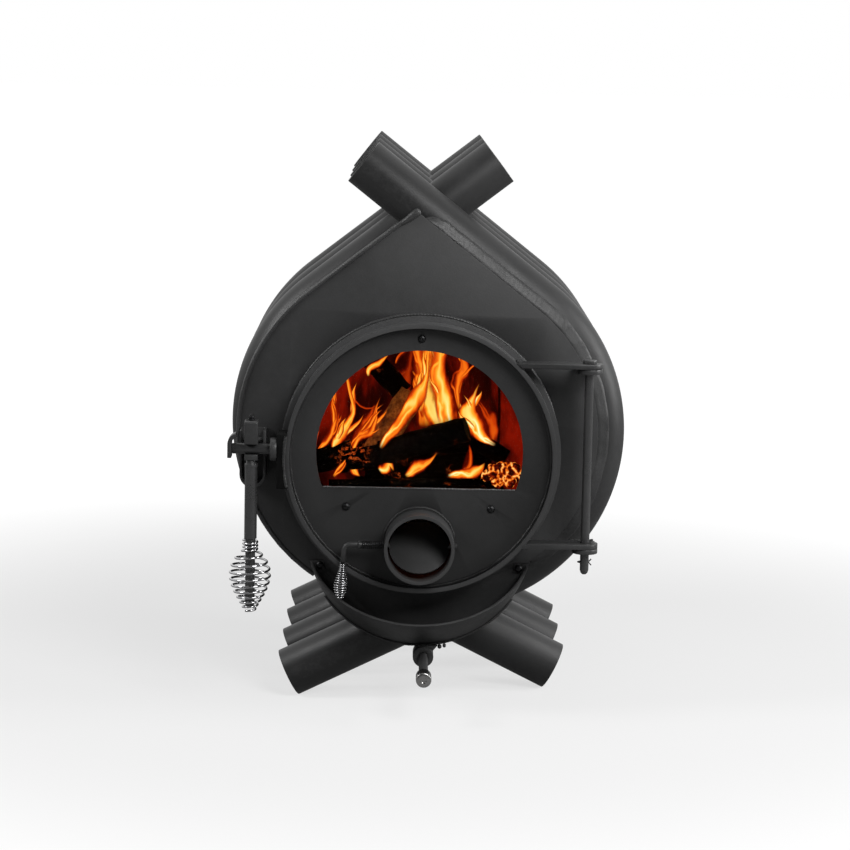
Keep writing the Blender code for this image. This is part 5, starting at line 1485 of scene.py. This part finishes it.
def logs():
    kinds = {"char": charred("charred_bark", 0.8), "wood": split_wood("split_wood_face")}
    for name, (kind, thick, start, stop) in LOGS.items():
        start = Vector(start) / 1000
        stop = Vector(stop) / 1000
        way = stop - start
        bm = bmesh.new()
        bmesh.ops.create_cone(bm, cap_ends=True, segments=28, radius1=1.0, radius2=1.0, depth=1.0)
        long = [edge for edge in bm.edges if abs(edge.verts[0].co.z - edge.verts[1].co.z) > 0.5]
        bmesh.ops.subdivide_edges(bm, edges=long, cuts=26, use_grid_fill=True)
        caps = [face for face in bm.faces if len(face.verts) > 4]
        bmesh.ops.inset_region(bm, faces=caps, thickness=0.25, depth=-0.002)
        turn = turn_to(way)
        for vert in bm.verts:
            local = Vector((vert.co.x, vert.co.y, 0))
            share = vert.co.z + 0.5
            angle = math.atan2(local.y, local.x)
            a, b, along = math.cos(angle), math.sin(angle), share * way.length
            bark = noise.noise(Vector((a * 2.2, b * 2.2, along * 50 + thick)))
            split = noise.noise(Vector((a * 7, b * 7, along * 22)))
            grow = thick / 1000 * (1 + 0.13 * bark + 0.07 * split) * (1 - 0.10 * abs(share - 0.5))
            vert.co = start + way * share + turn @ (local * grow)
        piece(name, eased(bm, 0.0006), "stove", None, kinds[kind])


def embers():
    glow = ember_material("white_hot_embers")
    for index, (x, y, z, size) in enumerate(EMBERS):
        bm = bmesh.new()
        bmesh.ops.create_cube(bm, size=2)
        bmesh.ops.subdivide_edges(bm, edges=bm.edges[:], cuts=5, use_grid_fill=True)
        turn = Matrix.Rotation(index * 1.3, 3, "Y") @ Matrix.Rotation(index * 0.7, 3, "X")
        for vert in bm.verts:
            round_off = vert.co.normalized() * 1.25
            spot = vert.co.lerp(round_off, 0.45)
            spot *= 1 + 0.22 * noise.noise(vert.co * 1.6 + Vector((index * 9.0, 0, 0)))
            vert.co = Vector((x, y, z)) / 1000 + (turn @ spot) * size / 1000
        piece(f"ember_{index + 1}", bm, "stove", None, glow)
    bm = bmesh.new()
    bmesh.ops.create_grid(bm, x_segments=70, y_segments=90, size=0.5)
    for vert in bm.verts:
        u = vert.co.x * 2
        v = vert.co.y * 2
        x = u * BED_HALF[0]
        y = BED_Y + v * BED_HALF[1]
        lumps = 0.010 * noise.noise(Vector((x * 55, y * 55, 0)))
        lumps += 0.005 * noise.noise(Vector((x * 130, y * 130, 3)))
        dome = (1 - u ** 4) * (1 - v ** 6)
        vert.co = Vector((x, y, BED_FLOOR + BED_RISE * dome + lumps))
    bmesh.ops.solidify(bm, geom=bm.faces[:], thickness=0.006)
    piece("ash_bed", bm, "stove", None, charred("ash_and_coals", 1.0, 110.0))


def firebox_glow():
    outline = arc(GLOW_CENTRE, GLOW_R, 0, math.tau, 96)[:-1]
    bm = prism(outline, *GLOW_SPAN)
    # The back wall's glow is painted firelight.
    piece("firebox_back_glow", eased(bm, 0.001), "stove", None, glowing_wall("firelit_soot_glow"))


# Stage

def rays_of(tree):
    """Mark what the camera sees, and what it sees by a mirror or through glass."""
    rays = node(tree, "LightPath").outputs
    return rays["Is Camera Ray"], most(tree, rays["Is Glossy Ray"], rays["Is Transmission Ray"])


def stage():
    scene = bpy.context.scene
    scene.view_settings.view_transform = "Standard"

    bm = bmesh.new()
    bmesh.ops.create_grid(bm, x_segments=1, y_segments=1, size=30)
    floor = bpy.data.objects.new("pale_floor", mesh_of("pale_floor", bm))
    scene.collection.objects.link(floor)
    made, tree, shader = material("pale_floor_paint", specular=0.0)
    seen, mirrored = rays_of(tree)
    away = node(tree, "VectorMath", {0: here(tree)}, operation="LENGTH").outputs["Value"]
    fade = spread(tree, away, 0.5, 1.6, 0.66, 1.0)
    dress(tree, shader, (0.22, 0.22, 0.22, 1), 0.9, glow=(1, 1, 1, 1),
          strength=times(tree, added(tree, mirrored, 0.15, seen), fade))
    floor.data.materials.append(made)

    world = bpy.data.worlds.new("white_studio")
    scene.world = world
    world.use_nodes = True
    tree = world.node_tree
    seen, mirrored = rays_of(tree)
    way = parts_of(tree, node(tree, "TexCoord").outputs["Generated"])["Y"]
    room = spread(tree, way, -0.45, 0.25, ROOM_GLOSS, 1.0)
    soft = maths(tree, "ADD", times(tree, mirrored, less(tree, room, AMBIENT)), AMBIENT)
    feed(tree, tree.nodes["Background"], {"Color": (1, 1, 1, 1), "Strength": most(tree, soft, seen)})

    for lamp in LAMPS:
        light_up(*lamp)


def light_up(name, place, size, power):
    light = bpy.data.lights.new(name, "AREA")
    light.size = size
    light.energy = power
    obj = bpy.data.objects.new(name, light)
    obj.location = place
    obj.rotation_euler = (Vector(LAMP_AIM) - Vector(place)).to_track_quat("-Z", "Y").to_euler()
    bpy.context.scene.collection.objects.link(obj)


def camera():
    """The photograph's viewpoint."""
    right = Vector((math.cos(CAMERA_YAW), -math.sin(CAMERA_YAW), 0))
    flat = math.cos(CAMERA_PITCH)
    ahead = Vector((math.sin(CAMERA_YAW) * flat, math.cos(CAMERA_YAW) * flat, -math.sin(CAMERA_PITCH)))
    up = right.cross(ahead)
    level = right * math.cos(CAMERA_ROLL) - up * math.sin(CAMERA_ROLL)
    above = right * math.sin(CAMERA_ROLL) + up * math.cos(CAMERA_ROLL)
    data = bpy.data.cameras.new("photo_camera")
    data.sensor_fit = "HORIZONTAL"
    data.sensor_width = 36
    data.lens = LENS
    data.clip_end = 100
    obj = bpy.data.objects.new("photo_camera", data)
    turn = Matrix((level, above, -ahead)).transposed().to_4x4()
    obj.matrix_world = Matrix.Translation(CAMERA_PLACE) @ turn
    bpy.context.scene.collection.objects.link(obj)
    bpy.context.scene.camera = obj


for build in (camera, stage, tubes, strips, front_plate, rear_plate, plate_welds, door_collar, door,
              window, hinge, inlet, air_damper, latch, apron, pull_rod, flue, baffle, flames, logs,
              embers, firebox_glow):
    build()
